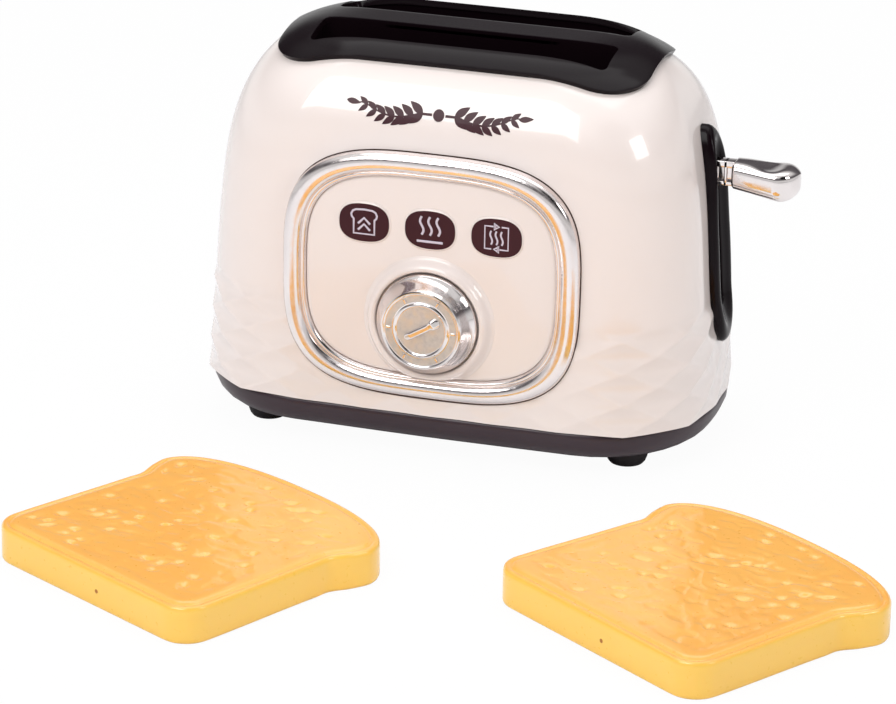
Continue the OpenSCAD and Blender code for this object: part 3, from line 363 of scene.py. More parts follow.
def alongRidge(u, v):  # which way the ridge of the diamonds runs through a face
    return (int(u * 2 * halfColumns) + int(v / reliefShare * housing["reliefRows"])) % 2 == 1

def overSlit(middle):
    level = housing["slitLow"] < middle.z < housing["slitHigh"]
    return level and middle.x > 0 and abs(middle.y) < housing["slitHalf"]

def behindPanel(middle):
    across = abs(middle.x) / housing["openingHalfWidth"]
    up = abs(middle.z - housing["openingMiddle"]) / housing["openingHalfHeight"]
    return middle.y < -40 and across ** 3.3 + up ** 3.3 < 1

def underCover(middle):
    dx, dy = max(0, abs(middle.x) - housing["roofHalfX"]), max(0, abs(middle.y) - housing["roofHalfY"])
    return math.hypot(dx, dy) < housing["roofReach"] and middle.z > housing["roofFrom"]

skin = wrapGrid("housingSkin", 2 * halfColumns * housing["finer"], skinRows, skinAt, alongRidge)
deleteFaces(skin, lambda middle: overSlit(middle) or behindPanel(middle) or underCover(middle))
solidify(skin, housing["wall"])
smooth(skin, 60)
finish(skin, "housing", cream, "cream_plastic", "body_shell")
print("housing ready")

# ---- top cover

cover = {"length": 141.4, "width": 73, "corner": 20, "thick": 2.5, "slotLength": 112.4, "slotWidth": 20.4,
         "slotMiddle": 17.3, "slotCorner": 3, "edge": 1.15, "collarLow": 139.3, "collarWall": 1.8}

def roofHeight(x, y):  # height of the housing's dome over a point of the plan
    low, high = 120, housing["top"]
    for _ in range(26):
        z = (low + high) / 2
        a, b = sideX(y, z), frontY(x, z)
        r = min(housing["cornerRadius"], a - 1, b - 1)
        dx, dy = max(0, abs(x) - a + r), max(0, abs(y) - b + r)
        if math.hypot(dx, dy) < r and abs(x) < a and abs(y) < b:
            low = z
        else:
            high = z
    return low

def edgePoint(length, width, r, side, t):
    # side 0 is +X, 2 is +Y, 4 is -X, 6 is -Y, and the odd ones are the corners between
    x, y = length / 2 - r, width / 2 - r
    if side % 2 == 0:
        a, b = [((1, -1), (1, 1)), ((1, 1), (-1, 1)), ((-1, 1), (-1, -1)), ((-1, -1), (1, -1))][side // 2]
        out = [(1, 0), (0, 1), (-1, 0), (0, -1)][side // 2]
        return (x * (a[0] + (b[0] - a[0]) * t) + r * out[0], y * (a[1] + (b[1] - a[1]) * t) + r * out[1])
    turn = math.radians(90 * ((side - 1) / 2 + t))
    signX, signY = [(1, 1), (-1, 1), (-1, -1), (1, -1)][side // 2]
    return signX * x + r * math.cos(turn), signY * y + r * math.sin(turn)

def coverColumns():
    # matching points of the outer edge and of the slots' surround
    c = cover
    surround = 2 * c["slotMiddle"] + c["slotWidth"]
    pairs = []
    bridge = c["slotMiddle"] - c["slotWidth"] / 2 + c["slotCorner"]
    straight = surround / 2 - c["slotCorner"]
    for side in range(8):
        if side in (0, 4):
            places = [-straight + (straight - bridge) * i / 8 for i in range(8)]
            places += [-bridge + 2 * bridge * i / 14 for i in range(14)]
            places += [bridge + (straight - bridge) * i / 8 for i in range(8)]
            steps = [(y / straight + 1) / 2 for y in places]
        else:
            steps = [i / 12 for i in range(12)] if side % 2 else [i / 90 for i in range(90)]
        for t in steps:
            pairs.append((edgePoint(c["length"], c["width"], c["corner"], side, t),
                          edgePoint(c["slotLength"], surround, c["slotCorner"], side, t)))
    return pairs

coverPairs = coverColumns()
columnCount = len(coverPairs)

def coverRingAt(u, v):
    outer, inner = coverPairs[int(round(u * columnCount)) % columnCount]
    x, y = [a + (b - a) * v for a, b in zip(inner, outer)]
    return x, y, roofHeight(x, y) + cover["thick"]

def coverBridgeAt(u, v):
    half = cover["slotLength"] / 2
    r = cover["slotCorner"]
    edge = 14 / 140  # share of the columns on the rounded ends
    if u < edge or u > 1 - edge:
        t = math.radians(90 * min(u, 1 - u) / edge)
        x = (half - r + r * math.cos(t)) * (-1 if u < edge else 1)
        flare = r - r * math.sin(t)
    else:
        x, flare = (half - r) * (2 * (u - edge) / (1 - 2 * edge) - 1), 0
    y = (cover["slotMiddle"] - cover["slotWidth"] / 2 + flare) * (2 * v - 1)
    return x, y, roofHeight(x, y) + cover["thick"]

coverRing = wrapGrid("coverRing", columnCount, 9, coverRingAt)
coverBridge = wrapGrid("coverBridge", 140, 14, coverBridgeAt)
coverPlate = join([coverRing, coverBridge], "coverPlate")
closeSeams(coverPlate)
solidify(coverPlate, cover["thick"] - 0.1)
bevel = coverPlate.modifiers.new("edge", "BEVEL")
bevel.width = cover["edge"] * mm
bevel.segments = 5
bevel.limit_method = "ANGLE"
bevel.angle_limit = math.radians(50)
applyAll(coverPlate)

def collarAt(side):
    def place(u, v):
        c = cover
        t = u * 8 * 0.999999
        inner = edgePoint(c["slotLength"], c["slotWidth"], c["slotCorner"], int(t), t - int(t))
        outer = edgePoint(c["slotLength"] + 2 * c["collarWall"], c["slotWidth"] + 2 * c["collarWall"],
                          c["slotCorner"] + c["collarWall"], int(t), t - int(t))
        row = int(round(v * 4)) % 4
        x, y = inner if row in (0, 1) else outer
        y += side * c["slotMiddle"]
        return x, y, c["collarLow"] if row in (1, 2) else roofHeight(x, y) + 1.2
    return place

collars = [wrapGrid("collar", 96, 4, collarAt(side)) for side in (-1, 1)]
coverPlate = join([coverPlate] + collars, "coverSkin")
smooth(coverPlate, 30)
finish(coverPlate, "housing", black, "black_plastic", "top_cover")
print("cover ready")

# ---- base, feet and inner parts

feet = ("foot_front_left", "foot_front_right", "foot_rear_left", "foot_rear_right")
hardware = ("guide_rod_front", "guide_rod_rear", "return_spring_front", "return_spring_rear", "latch_spring",
            "base_screws", "cover_screws", "panel_screws", "trim_screws", "well_screws", "bracket_screws",
            "latch_screw")
for nodes, body, material, slotName, angle in (
        (("base_tray",), "housing", baseBlack, "black_plastic", 40),
        (feet, "housing", soleBlack, "black_plastic", 30),
        (("bread_well_front", "bread_well_rear"), "housing", wellBlack, "black_plastic", 30),
        (hardware, "housing", steel, "steel", 35),
        (("rod_bracket",), "housing", innerPlastic, "inner_plastic", 35),
        (("carriage",), "lever_slide", innerPlastic, "inner_plastic", 35),
        (("lever_screw",), "lever_slide", steel, "steel", 35),
        (("cam_screw",), "knob_turning", steel, "steel", 35),
        (("release_cam",), "knob_turning", innerPlastic, "black_plastic", 35),
        (("latch_hook",), "latch", innerPlastic, "inner_plastic", 35)):
    for node in nodes:
        refined(node, body, material, slotName, angle)
print("inner parts ready")

# ---- control panel

panel = {"middle": 71.2, "halfWidth": 47.3, "halfHeight": 37.9, "face": -54.6, "thick": 2.4, "edge": 0.25,
         "squareness": 3.3, "surroundHalfWidth": 56.2, "surroundHalfHeight": 46.5, "band": 8.8,
         "bandHigh": 8.5, "signPitch": 25.05, "signHigh": 90.1, "signWide": 10.1, "signTall": 8.0,
         "signRise": 0.7, "signSquareness": 2.5, "knobHigh": 54.8}
# share of the band from its outer edge, and place in Y
surroundProfile = [(0, -52.3), (0, -53.6), (0, -54.9), (0.035, -55.9), (0.11, -56.75), (0.25, -57.4),
                   (0.42, -57.6), (0.57, -57.35), (0.68, -56.85), (0.745, -56.3), (0.765, -55.75),
                   (0.785, -55.7), (0.81, -55.95), (0.87, -56.05), (0.93, -55.8), (0.975, -55.3),
                   (1, -54.8), (1, -53.6), (1, -52.3)]

def squareRound(a, b, exponent, turn):
    return (a * power(math.cos(turn), 2 / exponent), b * power(math.sin(turn), 2 / exponent))

def evenTurns(a, b, exponent, count):  # turns that give even steps along a rounded square
    fine = [math.tau * i / 4000 for i in range(4001)]
    places = [squareRound(a, b, exponent, turn) for turn in fine]
    return [fine[j] + (fine[j + 1] - fine[j]) * share for j, share in evenSteps(places, count)]

surroundColumns = 240
surroundTurns = evenTurns(panel["surroundHalfWidth"] - 4, panel["surroundHalfHeight"] - 4,
                          panel["squareness"], surroundColumns)

def surroundAt(u, v):
    turn = surroundTurns[round(u * surroundColumns) % surroundColumns]
    share, y = throughPoints(surroundProfile, v)
    share = min(1, max(0, share))
    x, z = squareRound(panel["surroundHalfWidth"] - share * panel["band"],
                       panel["surroundHalfHeight"] - share * panel["bandHigh"], panel["squareness"], turn)
    return x, y, panel["middle"] + z

surround = closedRing("surroundSkin", surroundColumns, 54, surroundAt)
finish(surround, "housing", softChrome, "chrome", "panel_bezel")

gapShadowSection = ((0.25, 0.6), (0.25, -0.05), (-0.3, -0.05), (-0.3, 0.6))
def gapShadowAt(u, v):  # painted shadow of the gap round the surround: a dark ring a hair in front of the housing
    turn = surroundTurns[round(u * surroundColumns) % surroundColumns]
    grow, y = gapShadowSection[round(v * 3)]
    x, z = squareRound(panel["surroundHalfWidth"] + grow, panel["surroundHalfHeight"] + grow,
                       panel["squareness"], turn)
    z += panel["middle"]
    swell = housing["reliefSwell"] * (1 - smoothstep(housing["fadeFrom"], housing["fadeTo"], z))
    return x, y - frontY(x, z) - swell, z

# a thin ring of painted shadow standing for the gap round the surround
seam = closedRing("surroundGapShadow", surroundColumns, 3, gapShadowAt)
finish(seam, "housing", gapShadowBrown, "black_plastic")

panelColumns = 160
panelTurns = evenTurns(panel["halfWidth"], panel["halfHeight"], panel["squareness"], panelColumns)

def plateAt(u, v):
    turn = panelTurns[round(u * panelColumns) % panelColumns]
    edge, thick = panel["edge"], panel["thick"]
    if v > 0.9:  # rounded edge, then the side and the back
        step = round((v - 0.9) / 0.1 * 4)
        scale, depth = [(1, 0), (1, edge), (1, thick / 2), (1, thick), (0, thick)][step]
        edge = edge if step == 0 else 0
    else:
        scale, depth = v / 0.9, 0
    a, b = panel["halfWidth"] - edge, panel["halfHeight"] - edge
    x, z = squareRound(a * scale, b * scale, panel["squareness"], turn)
    return x, panel["face"] + depth, panel["middle"] + z

plate = wrapGrid("panelPlate", panelColumns, 40, plateAt)

# raised oval under each sign: share of its reach, and rise from the panel
landSection = [(1.0, -0.3), (1.0, 0), (0.985, 0.12), (0.965, 0.35), (0.945, 0.55), (0.91, 0.68), (0.87, 0.7),
               (0.45, 0.7), (0, 0.7)]
def signOval(reach, squat, u):
    return squareRound(panel["signWide"] * reach, panel["signTall"] * squat * reach, panel["signSquareness"],
                       math.tau * u)

def signLandAt(i):
    def place(u, v):
        reach, rise = landSection[round(v * 8)]
        x, z = signOval(reach, 1, u)
        return i * panel["signPitch"] + x, panel["face"] - rise, panel["signHigh"] + z
    return place

lands = [wrapGrid("signLand", 96, 8, signLandAt(i)) for i in (-1, 0, 1)]
# collar round the knob: radius, and rise from the panel
collarProfile = [(19.7, -0.3), (19.7, 1.6), (19.75, 2.8), (20.1, 3.45), (20.8, 3.7), (21.5, 3.5), (22.2, 2.9),
                 (22.8, 2.0), (23.4, 1.1), (24.1, 0.4), (24.9, 0.05), (25.0, -0.3)]
def panelLimit(x):  # lowest height that the panel reaches at x, so that the collar stays on it
    share = min(0.999, abs(x) / panel["halfWidth"])
    rounding = (1 - share ** panel["squareness"]) ** (1 / panel["squareness"])
    return panel["middle"] - (panel["halfHeight"] - 0.1) * rounding

def collarRingAt(u, v):
    r, rise = throughPoints(collarProfile, v)
    x, z = r * math.cos(math.tau * u), panel["knobHigh"] + r * math.sin(math.tau * u)
    return x, panel["face"] - rise, max(z, panelLimit(x))

collarRing = wrapGrid("collarRing", panelColumns, 26, collarRingAt)
plate = join([plate, collarRing] + lands, "panelSkin")
smooth(plate, 50)
finish(plate, "housing", cream, "cream_plastic", "control_panel")
print("panel ready")

# ---- printed signs

sign = {"reach": 0.94, "squat": 0.965, "lift": 0.05, "thick": 0.1, "lineLift": 0.02, "lineFlat": 0.3,
        "grow": 1.2}

signBrown = plasticMaterial("signPrint", (0.048, 0.012, 0.017), (0.058, 0.017, 0.022), 0.42, 0, specular=0.15)
signPale = plasticMaterial("signLines", (0.62, 0.56, 0.66), (0.70, 0.64, 0.74), 0.5, 0)

def printAt(i):
    def place(u, v):
        reach = sign["reach"] * (1 - (1 - v) ** 2)
        x, z = signOval(reach, sign["squat"], u)
        steps = zip(landSection[1:], landSection[2:])
        outer, inner = [step for step in steps if step[1][0] <= reach + 0.0001][0]
        rise = inner[1] + (outer[1] - inner[1]) * (reach - inner[0]) / max(0.001, outer[0] - inner[0])
        return i * panel["signPitch"] + x, panel["face"] - rise - sign["lift"], panel["signHigh"] + z
    return place

prints = [wrapGrid("signPrint", 96, 16, printAt(i)) for i in (-1, 0, 1)]
signPrints = join(prints, "signPrints")
solidify(signPrints, sign["thick"], 0)
smooth(signPrints, 40)
finish(signPrints, "housing", signBrown, "black_plastic")

def drawLine(points, width, middleX, closed=False):
    # a flat ribbon on the face of a sign, through points in millimetres
    level = (panel["face"] - panel["signRise"] - sign["lift"] - sign["lineLift"]) * mm
    curve = bpy.data.curves.new("signLine", "CURVE")
    curve.dimensions = "3D"
    spline = curve.splines.new("POLY")
    spline.points.add(len(points) - 1)
    for point, (x, z) in zip(spline.points, points):
        point.co = ((middleX + x) * mm, level, (panel["signHigh"] + z) * mm, 1)
    spline.use_cyclic_u = closed
    curve.bevel_depth = width / 2 * mm
    curve.bevel_resolution = 2
    curve.use_fill_caps = True
    line = bpy.data.objects.new("signLine", curve)
    bpy.context.scene.collection.objects.link(line)
    makeActive(line)
    bpy.ops.object.convert(target="MESH")
    line = bpy.context.object
    for vertex in line.data.vertices:  # pressed flat
        vertex.co.y = level + (vertex.co.y - level) * sign["lineFlat"]
    return line

def wave(x, low, high, swing, count=24):
    shares = [i / count for i in range(count + 1)]
    return [(x + swing * math.sin(math.tau * share), low + (high - low) * share) for share in shares]

def grown(points):
    return [(x * sign["grow"], z * sign["grow"]) for x, z in points]

left, right = -panel["signPitch"], panel["signPitch"]
breadHalf = [(3.3, -3.6), (3.3, 1.0), (3.9, 1.6), (4.1, 2.5), (3.6, 3.5), (2.6, 4.0)]
breadOutline = [(-x, z) for x, z in breadHalf] + [(0, 4.2)] + breadHalf[::-1]
lines = [drawLine(grown(breadOutline), 0.85, left, True)]  # a slice of bread that rises
for tip in (1.5, -0.5):
    lines.append(drawLine(grown([(-1.9, tip - 1.9), (0, tip), (1.9, tip - 1.9)]), 0.95, left))
for x in (-2.6, 0, 2.6):  # heat over a plate
    lines.append(drawLine(grown(wave(x, -1.6, 4.2, 0.55)), 0.95, 0))
lines.append(drawLine(grown([(-4.1, -3.7), (4.1, -3.7)]), 1.0, 0))
lines.append(drawLine([(-1.2, 4.3), (-4.4, 4.3), (-4.4, -4.3), (-1.9, -4.3)], 0.7, right))  # heat again
lines.append(drawLine([(1.2, -4.3), (4.4, -4.3), (4.4, 4.3), (1.9, 4.3)], 0.7, right))
for tipX, tipZ, reach in ((1.0, 4.3, -1.9), (-1.0, -4.3, 1.9)):
    for share in (1, 0.45):  # two outlines, one in the other, fill the arrowhead
        backX, half = tipX + reach * (0.5 + 0.5 * share), 1.25 * share
        lines.append(drawLine([(backX, tipZ + half), (tipX, tipZ), (backX, tipZ - half)], 0.7, right, True))
for x in (-2.0, 0, 2.0):
    lines.append(drawLine(wave(x, -2.6, 2.6, 0.4), 0.75, right))
signLines = join(lines, "signLines")
finish(signLines, "housing", signPale, "cream_plastic")
print("signs ready")

# ---- wheat ornament above the panel

ornament = {"middle": 131, "grains": 7, "grainLong": 6.4, "grainWide": 2.7, "grainTurn": 34, "from": 7,
            "spread": 29, "sag": 2.6, "rise": 1.5, "button": 2.1, "thick": 0.1, "lift": 0.06}
ornamentBrown = plasticMaterial("ornamentPrint", (0.045, 0.012, 0.018), (0.056, 0.017, 0.024), 0.35, 0.1,
                                specular=0.2)

def onFront(x, z):
    return x, -(frontY(x, z) + ornament["lift"]), z

def stalkHeight(t):
    return ornament["middle"] - ornament["sag"] * math.sin(math.pi * min(1, t * 0.95)) + ornament["rise"] * t

def leafAt(x, z, turn, long, wide):
    def place(u, v):
        along = (u - 0.5) * long
        reach = wide / 2 * math.sin(math.pi * u) ** 0.8 * (1 + 0.25 * math.cos(math.pi * u))
        across = (v - 0.5) * 2 * reach
        c, s = math.cos(turn), math.sin(turn)
        return onFront(x + along * c - across * s, z + along * s + across * c)
    return place

grainSpan = ornament["spread"] - 9
stemStart, stemEnd = 2.5, ornament["spread"] + 1

def stemAt(side):
    def place(u, v):
        x = stemStart + (stemEnd - stemStart) * u
        t = max(0, (x - ornament["from"]) / grainSpan)
        return onFront(side * x, stalkHeight(t) + (v - 0.5) * (0.9 - 0.5 * u))
    return place

def buttonAt(u, v):
    r = ornament["button"] * v
    return onFront(r * math.cos(math.tau * u), ornament["middle"] + r * math.sin(math.tau * u))

leaves = []
for side in (-1, 1):
    for i in range(ornament["grains"]):
        t = i / (ornament["grains"] - 1)
        x, z = ornament["from"] + grainSpan * t + 1.6, stalkHeight(t)
        size = 1 - 0.35 * t
        for up in (-1, 1):
            turn = math.radians(ornament["grainTurn"] * up)
            place = leafAt(side * x, z + up * 1.9 * size, turn if side > 0 else math.pi - turn,
                           ornament["grainLong"] * size, ornament["grainWide"] * size)
            leaves.append(wrapGrid("grain", 12, 4, place))
    leaves.append(wrapGrid("stalk", 40, 1, stemAt(side)))
    tipAt = leafAt(side * (ornament["spread"] + 3.4), ornament["middle"] + 1.7, 0.12 * side, 5.6, 1.9)
    leaves.append(wrapGrid("tipGrain", 12, 4, tipAt))
leaves.append(wrapGrid("button", 32, 3, buttonAt))
wheat = join(leaves, "wheatOrnament")
solidify(wheat, ornament["thick"], 0)
smooth(wheat, 30)
finish(wheat, "housing", ornamentBrown, "black_plastic")
print("ornament ready")

# ---- knob

knob = {"high": panel["knobHigh"], "face": 10.3, "ticks": 6, "tickAt": 12.25, "pointerTurn": 31,
        "pointerFrom": -7.2, "pointerLong": 15.4, "sunk": 0.02}
knobShaftSteps = ((4.0, -56.0, -47.6), (2.8, -48.0, -43.8))  # radius, front and back
# radius, and rise from the panel, from the middle of the face round to the shaft's bore
knobProfile = [(0, 10.3), (8.9, 10.3), (9.25, 10.35), (9.55, 10.62), (9.95, 10.78), (10.35, 10.62),
               (10.65, 10.35), (11.0, 10.3), (13.5, 10.3), (13.8, 10.36), (14.1, 10.62), (14.5, 10.72),
               (14.95, 10.5), (15.3, 9.9), (16.2, 8.2), (17.2, 6.4), (18.2, 4.9), (18.85, 4.1), (19.1, 3.6),
               (19.1, 2.2), (18.9, 1.2), (17.6, 1.0), (17.3, 1.6), (17.2, 4.0), (13.6, 8.3), (5.6, 8.3),
               (5.6, 0.4), (0, 0.4)]
def knobAt(u, v):
    i = v * (len(knobProfile) - 1)
    j = min(len(knobProfile) - 2, int(i))
    r, rise = [a + (b - a) * (i - j) for a, b in zip(knobProfile[j], knobProfile[j + 1])]
    turn = math.tau * u
    return r * math.cos(turn), panel["face"] - rise, knob["high"] + r * math.sin(turn)

knobSkin = wrapGrid("knobSkin", 192, (len(knobProfile) - 1) * 2, knobAt)
smooth(knobSkin, 30)

def onKnob(along, across, turn, rise):  # a point on the knob's face, turned round its middle
    c, s = math.cos(turn), math.sin(turn)
    y = panel["face"] - knob["face"] + knob["sunk"] - rise
    return along * c - across * s, y, knob["high"] + along * s + across * c

def tickAt(turn):
    def place(u, v):  # a small raised bar with rounded sides
        along, across = (u - 0.5) * 2, (v - 0.5) * 2
        rise = 0.55 * min(1, 6 * (1 - abs(along))) * min(1, 3.0 * (1 - abs(across))) ** 0.5
        return onKnob(knob["tickAt"] + 0.95 * along, 0.62 * across, turn, rise)
    return place

ticks = [wrapGrid("tick", 10, 10, tickAt(math.radians(60 * i))) for i in range(knob["ticks"])]

def pointerAt(u, v):  # bar with a rounder, higher tip
    long = knob["pointerFrom"] + knob["pointerLong"] * u
    tip = smoothstep(3.4, 5.6, long)
    half = (1.5 + 0.6 * tip) * math.sqrt(max(0.0, 1 - (max(0, abs(long - 0.5) - 5.8) / 1.9) ** 2))
    across = (v - 0.5) * 2
    rise = (1.3 + 0.5 * tip) * math.sqrt(max(0, 1 - across ** 4)) * min(1, 4 * min(u, 1 - u) + 0.25)
    return onKnob(long, half * across, math.radians(knob["pointerTurn"]), rise)

pointer = wrapGrid("pointer", 36, 12, pointerAt)
knobMarks = join(ticks + [pointer], "knobMarks")
smooth(knobMarks, 50)
finish(knobSkin, "knob_turning", chrome, "chrome", "knob")
finish(knobMarks, "knob_turning", chrome, "chrome")

knobSkin.data.materials.append(satin)  # the face's flats are satin
for face in knobSkin.data.polygons:
    middle = face.center / mm
    r = math.hypot(middle.x, middle.z - knob["high"])
    flat = middle.y < panel["face"] - knob["face"] + 0.05 and abs(face.normal.y) > 0.98
    face.material_index = 1 if flat and (r < 9.1 or 11.0 < r < 13.4) else 0
knobShaft = []
for r, front, back in knobShaftSteps:
    deselectAll()
    bpy.ops.mesh.primitive_cylinder_add(vertices=48, radius=r * mm, depth=(back - front) * mm,
                                        location=(0, (front + back) / 2 * mm, knob["high"] * mm),
                                        rotation=(math.pi / 2, 0, 0))
    bpy.ops.object.transform_apply(location=True, rotation=True, scale=True)
    knobShaft.append(bpy.context.object)
shaft = join(knobShaft, "knobShaft")
smooth(shaft, 40)
finish(shaft, "knob_turning", steel, "chrome")
print("knob ready")

# ---- lever

lever = {"high": 106.1, "inner": 99.1, "long": 24.6, "tipFrom": 0.66, "halfWide": 9, "dimple": 1.7,
         "exponent": 0.62, "stemFrom": 71.3, "stemWide": 5, "stemTall": 9.2, "ribs": 5, "ribFrom": 14,
         "ribPitch": 3.4, "ribThick": 1.2}
# shares of the paddle's length where its rows of points lie
paddleRows = [0, 0.012, 0.03, 0.12, 0.22, 0.32, 0.42, 0.5, 0.56, 0.62, 0.68, 0.73, 0.78, 0.83, 0.87, 0.91,
              0.94, 0.965, 0.985, 0.995, 1]
def paddleAt(u, v):
    t = throughPoints([(p,) for p in paddleRows], v)[0]
    t = min(1, max(0, t))
    start = lever["tipFrom"]
    tip = math.sqrt(max(0, 1 - ((t - start) / (1 - start)) ** 2)) if t > start else 1
    edge = 1 - 0.1 * (1 - smoothstep(0, 0.03, t))
    half = (lever["halfWide"] - 2.8 * max(0, 1 - t / start)) * tip * edge
    droop = max(0, (t - 0.70) / 0.30)
    top = 5 * edge - 2.6 * droop ** 2.2
    low = -5.2 * edge - 2.8 * min(1, t / 0.75) + 5.4 * (1 - math.sqrt(max(0, 1 - droop ** 2.2)))
    turn = math.tau * u
    c, s = power(math.cos(turn), lever["exponent"]), power(math.sin(turn), lever["exponent"])
    sink = lever["dimple"] * max(0, s) ** 3 * math.exp(-((t - 0.55) / 0.23) ** 2) * (1 - 0.8 * abs(c) ** 3)
    z = (top + low) / 2 + (top - low) / 2 * s - sink
    seam = 0.16 * math.exp(-((s + 0.55) / 0.05) ** 2) * tip  # the moulding's parting line
    return lever["inner"] + t * lever["long"], (half - seam) * c, lever["high"] + z

paddle = wrapGrid("paddle", 128, 80, paddleAt)
closeOpening(paddle, bpy.ops.mesh.edge_face_add)

def addBlock(name, low, high, edge=0.25):
    deselectAll()
    middle = [(a + b) / 2 * mm for a, b in zip(low, high)]
    size = [(b - a) * mm for a, b in zip(low, high)]
    bpy.ops.mesh.primitive_cube_add(size=1, location=middle, scale=size)
    bpy.ops.object.transform_apply(location=True, rotation=True, scale=True)
    block = bpy.context.object
    block.name = block.data.name = name
    bevel = block.modifiers.new("edge", "BEVEL")
    bevel.width = edge * mm
    bevel.segments = 3
    applyAll(block)
    return block

wide, tall = lever["stemWide"] / 2, lever["stemTall"] / 2
low, high = lever["high"] - tall, lever["high"] + tall
start, end = lever["stemFrom"], lever["inner"] + 0.6
stem = [addBlock("stem", (start, -wide, low), (start + 11, wide, high)),
        addBlock("stem", (start, -wide, high - 2.4), (end, wide, high)),
        addBlock("stem", (start, -wide, low), (end, wide, low + 1.4)),
        addBlock("stem", (start, -0.8, low), (end, 0.8, high), 0.1)]
ribs = [start + lever["ribFrom"] + lever["ribPitch"] * i for i in range(lever["ribs"])]
stem += [addBlock("stemRib", (x, -wide, low), (x + lever["ribThick"], wide, high), 0.2) for x in ribs]
handle = join([paddle] + stem, "handleSkin")
smooth(handle, 40)
finish(handle, "lever_slide", chrome, "chrome", "lever_handle")
print("lever ready")

# ---- trim round the lever's slit

trim = {"low": 40.5, "high": 123.2, "halfWide": 11.2, "squareness": 2.4, "footShare": 1.12, "headShare": 0.82,
        "slitLow": 54.9, "slitHigh": 112.3, "slitHalf": 3.2, "headLift": 1.3}
# share of the way from the rim to the slit, and how proud of the housing
trimProfile = [(0, 0.1), (0, 0.6), (0, 1.0), (0.02, 1.6), (0.05, 2.15), (0.10, 2.7), (0.17, 3.1), (0.25, 3.3),
               (0.34, 3.35), (0.45, 3.15), (0.58, 2.65), (0.72, 2.0), (0.86, 1.45), (0.96, 1.1), (1, 0.8),
               (1, 0.5), (1, 0.1)]
def trimAt(u, v):
    turn = math.tau * u
    middle, half = (trim["low"] + trim["high"]) / 2, (trim["high"] - trim["low"]) / 2
    y0, z0 = squareRound(trim["halfWide"], half, trim["squareness"], turn)
    if y0 < 0:  # wider at its foot than at its head
        y0 *= trim["footShare"] + (trim["headShare"] - trim["footShare"]) * smoothstep(-30, 38, z0)
    straight = (trim["slitHigh"] - trim["slitLow"]) / 2 - trim["slitHalf"]
    centre = (trim["slitHigh"] + trim["slitLow"]) / 2 - middle
    aim = math.atan2(z0 - centre - max(-straight, min(straight, z0 - centre)), y0)
    if abs(z0 - centre) < straight:
        y1, z1 = math.copysign(trim["slitHalf"], y0), z0
    else:
        y1 = trim["slitHalf"] * math.cos(aim)
        z1 = centre + math.copysign(straight, z0 - centre) + trim["slitHalf"] * math.sin(aim)
    share, proud = throughPoints(trimProfile, v)
    share = min(1, max(0, share))
    y, z = y0 + (y1 - y0) * share, middle + z0 + (z1 - z0) * share
    over = housing["reliefSwell"] * (1 - smoothstep(48, 62, z)) + trim["headLift"] * smoothstep(85, 118, z)
    return sideX(y, z) + proud + over * smoothstep(0.2, 1.2, proud), y, z

trimRing = closedRing("trimSkin", 200, 39, trimAt)
finish(trimRing, "housing", black, "black_plastic", "lever_trim")
print("trim ready")

# ---- toast slices

toast = {"foot": 103.3, "head": 110.2, "high": 101.4, "corner": 10.5, "neck": 0.69, "headAt": 0.78,
         "dent": 0.9, "dents": 52, "ventHigh": 6.4, "ventAside": 6.7, "ventOut": 0.26, "ventRadius": 0.75,
         "side": (1.0, 0.60, 0.09), "topDark": (0.96, 0.44, 0.075), "topPale": (0.98, 0.50, 0.10)}
toastPlastic, tree, shader = newMaterial("toastPlastic", (0.98, 0.50, 0.11), 0.3, 0, 0.6, 0.06)
top = addRamp(tree, addNoise(tree, 22, 4), [(0.3, toast["topDark"]), (0.7, toast["topPale"])])
facing = addNode(tree, "NewGeometry").outputs["Normal"]  # the sides are yellower than the top
upwards = addNode(tree, "SeparateXYZ", {"Vector": facing}).outputs["Z"]
turned = tree.nodes.new("ShaderNodeMix")
turned.data_type = "RGBA"
turned.inputs["A"].default_value = (*toast["side"], 1)
tree.links.new(addRange(tree, upwards, 0, 1, 0.4, 0.97), turned.inputs["Factor"])
tree.links.new(top, turned.inputs["B"])
tree.links.new(turned.outputs["Result"], shader.inputs["Base Color"])
grain = addNoise(tree, 500, 3)
tree.links.new(addRange(tree, grain, 0.27, 0.33), shader.inputs["Roughness"])
addBump(tree, shader, grain, 0.004, 0.0003)
shader.inputs["Subsurface Weight"].default_value = 0.12
shader.inputs["Subsurface Radius"].default_value = (0.006, 0.003, 0.0012)
ventShade = plasticMaterial("ventShade", (0.42, 0.15, 0.02), (0.46, 0.17, 0.025), 0.6, 0)

def toastOutline():
    foot, head, r, high = toast["foot"] / 2, toast["head"] / 2, toast["corner"], toast["high"]
    neck, crown = high * toast["neck"], high * toast["headAt"]
    half = [(i / 20 * (foot - r), 0) for i in range(20)]
    for turn in range(0, 91, 6):  # the foot's corner
        c, s = math.cos(math.radians(turn)), math.sin(math.radians(turn))
        half.append((foot - r + r * s, r - r * c))
    for t in [i / 16 for i in range(1, 17)]:  # the side, up to the neck
        half.append((foot - 1.2 * smoothstep(0, 1, t), r + (neck - 8 - r) * t))
    for t in [i / 12 for i in range(1, 13)]:  # out to the head
        flare = (head - 1.6 - foot + 1.2) * smoothstep(0.25, 1, t)
        half.append((foot - 1.2 - 0.6 * math.sin(math.pi * t) + flare, neck - 8 + (crown - 4 - neck + 8) * t))
    for turn in range(3, 91, 3):  # over the head
        c, s = math.cos(math.radians(turn)), math.sin(math.radians(turn))
        half.append((head * c ** 0.85, crown + (high - crown) * s ** 0.85))
    return half + [(-x, y) for x, y in reversed(half[:-1])]

def evenly(points, count):
    loop = points + [points[0]]
    return [[a + (b - a) * share for a, b in zip(loop[j], loop[j + 1])]
            for j, share in evenSteps(loop, count)]

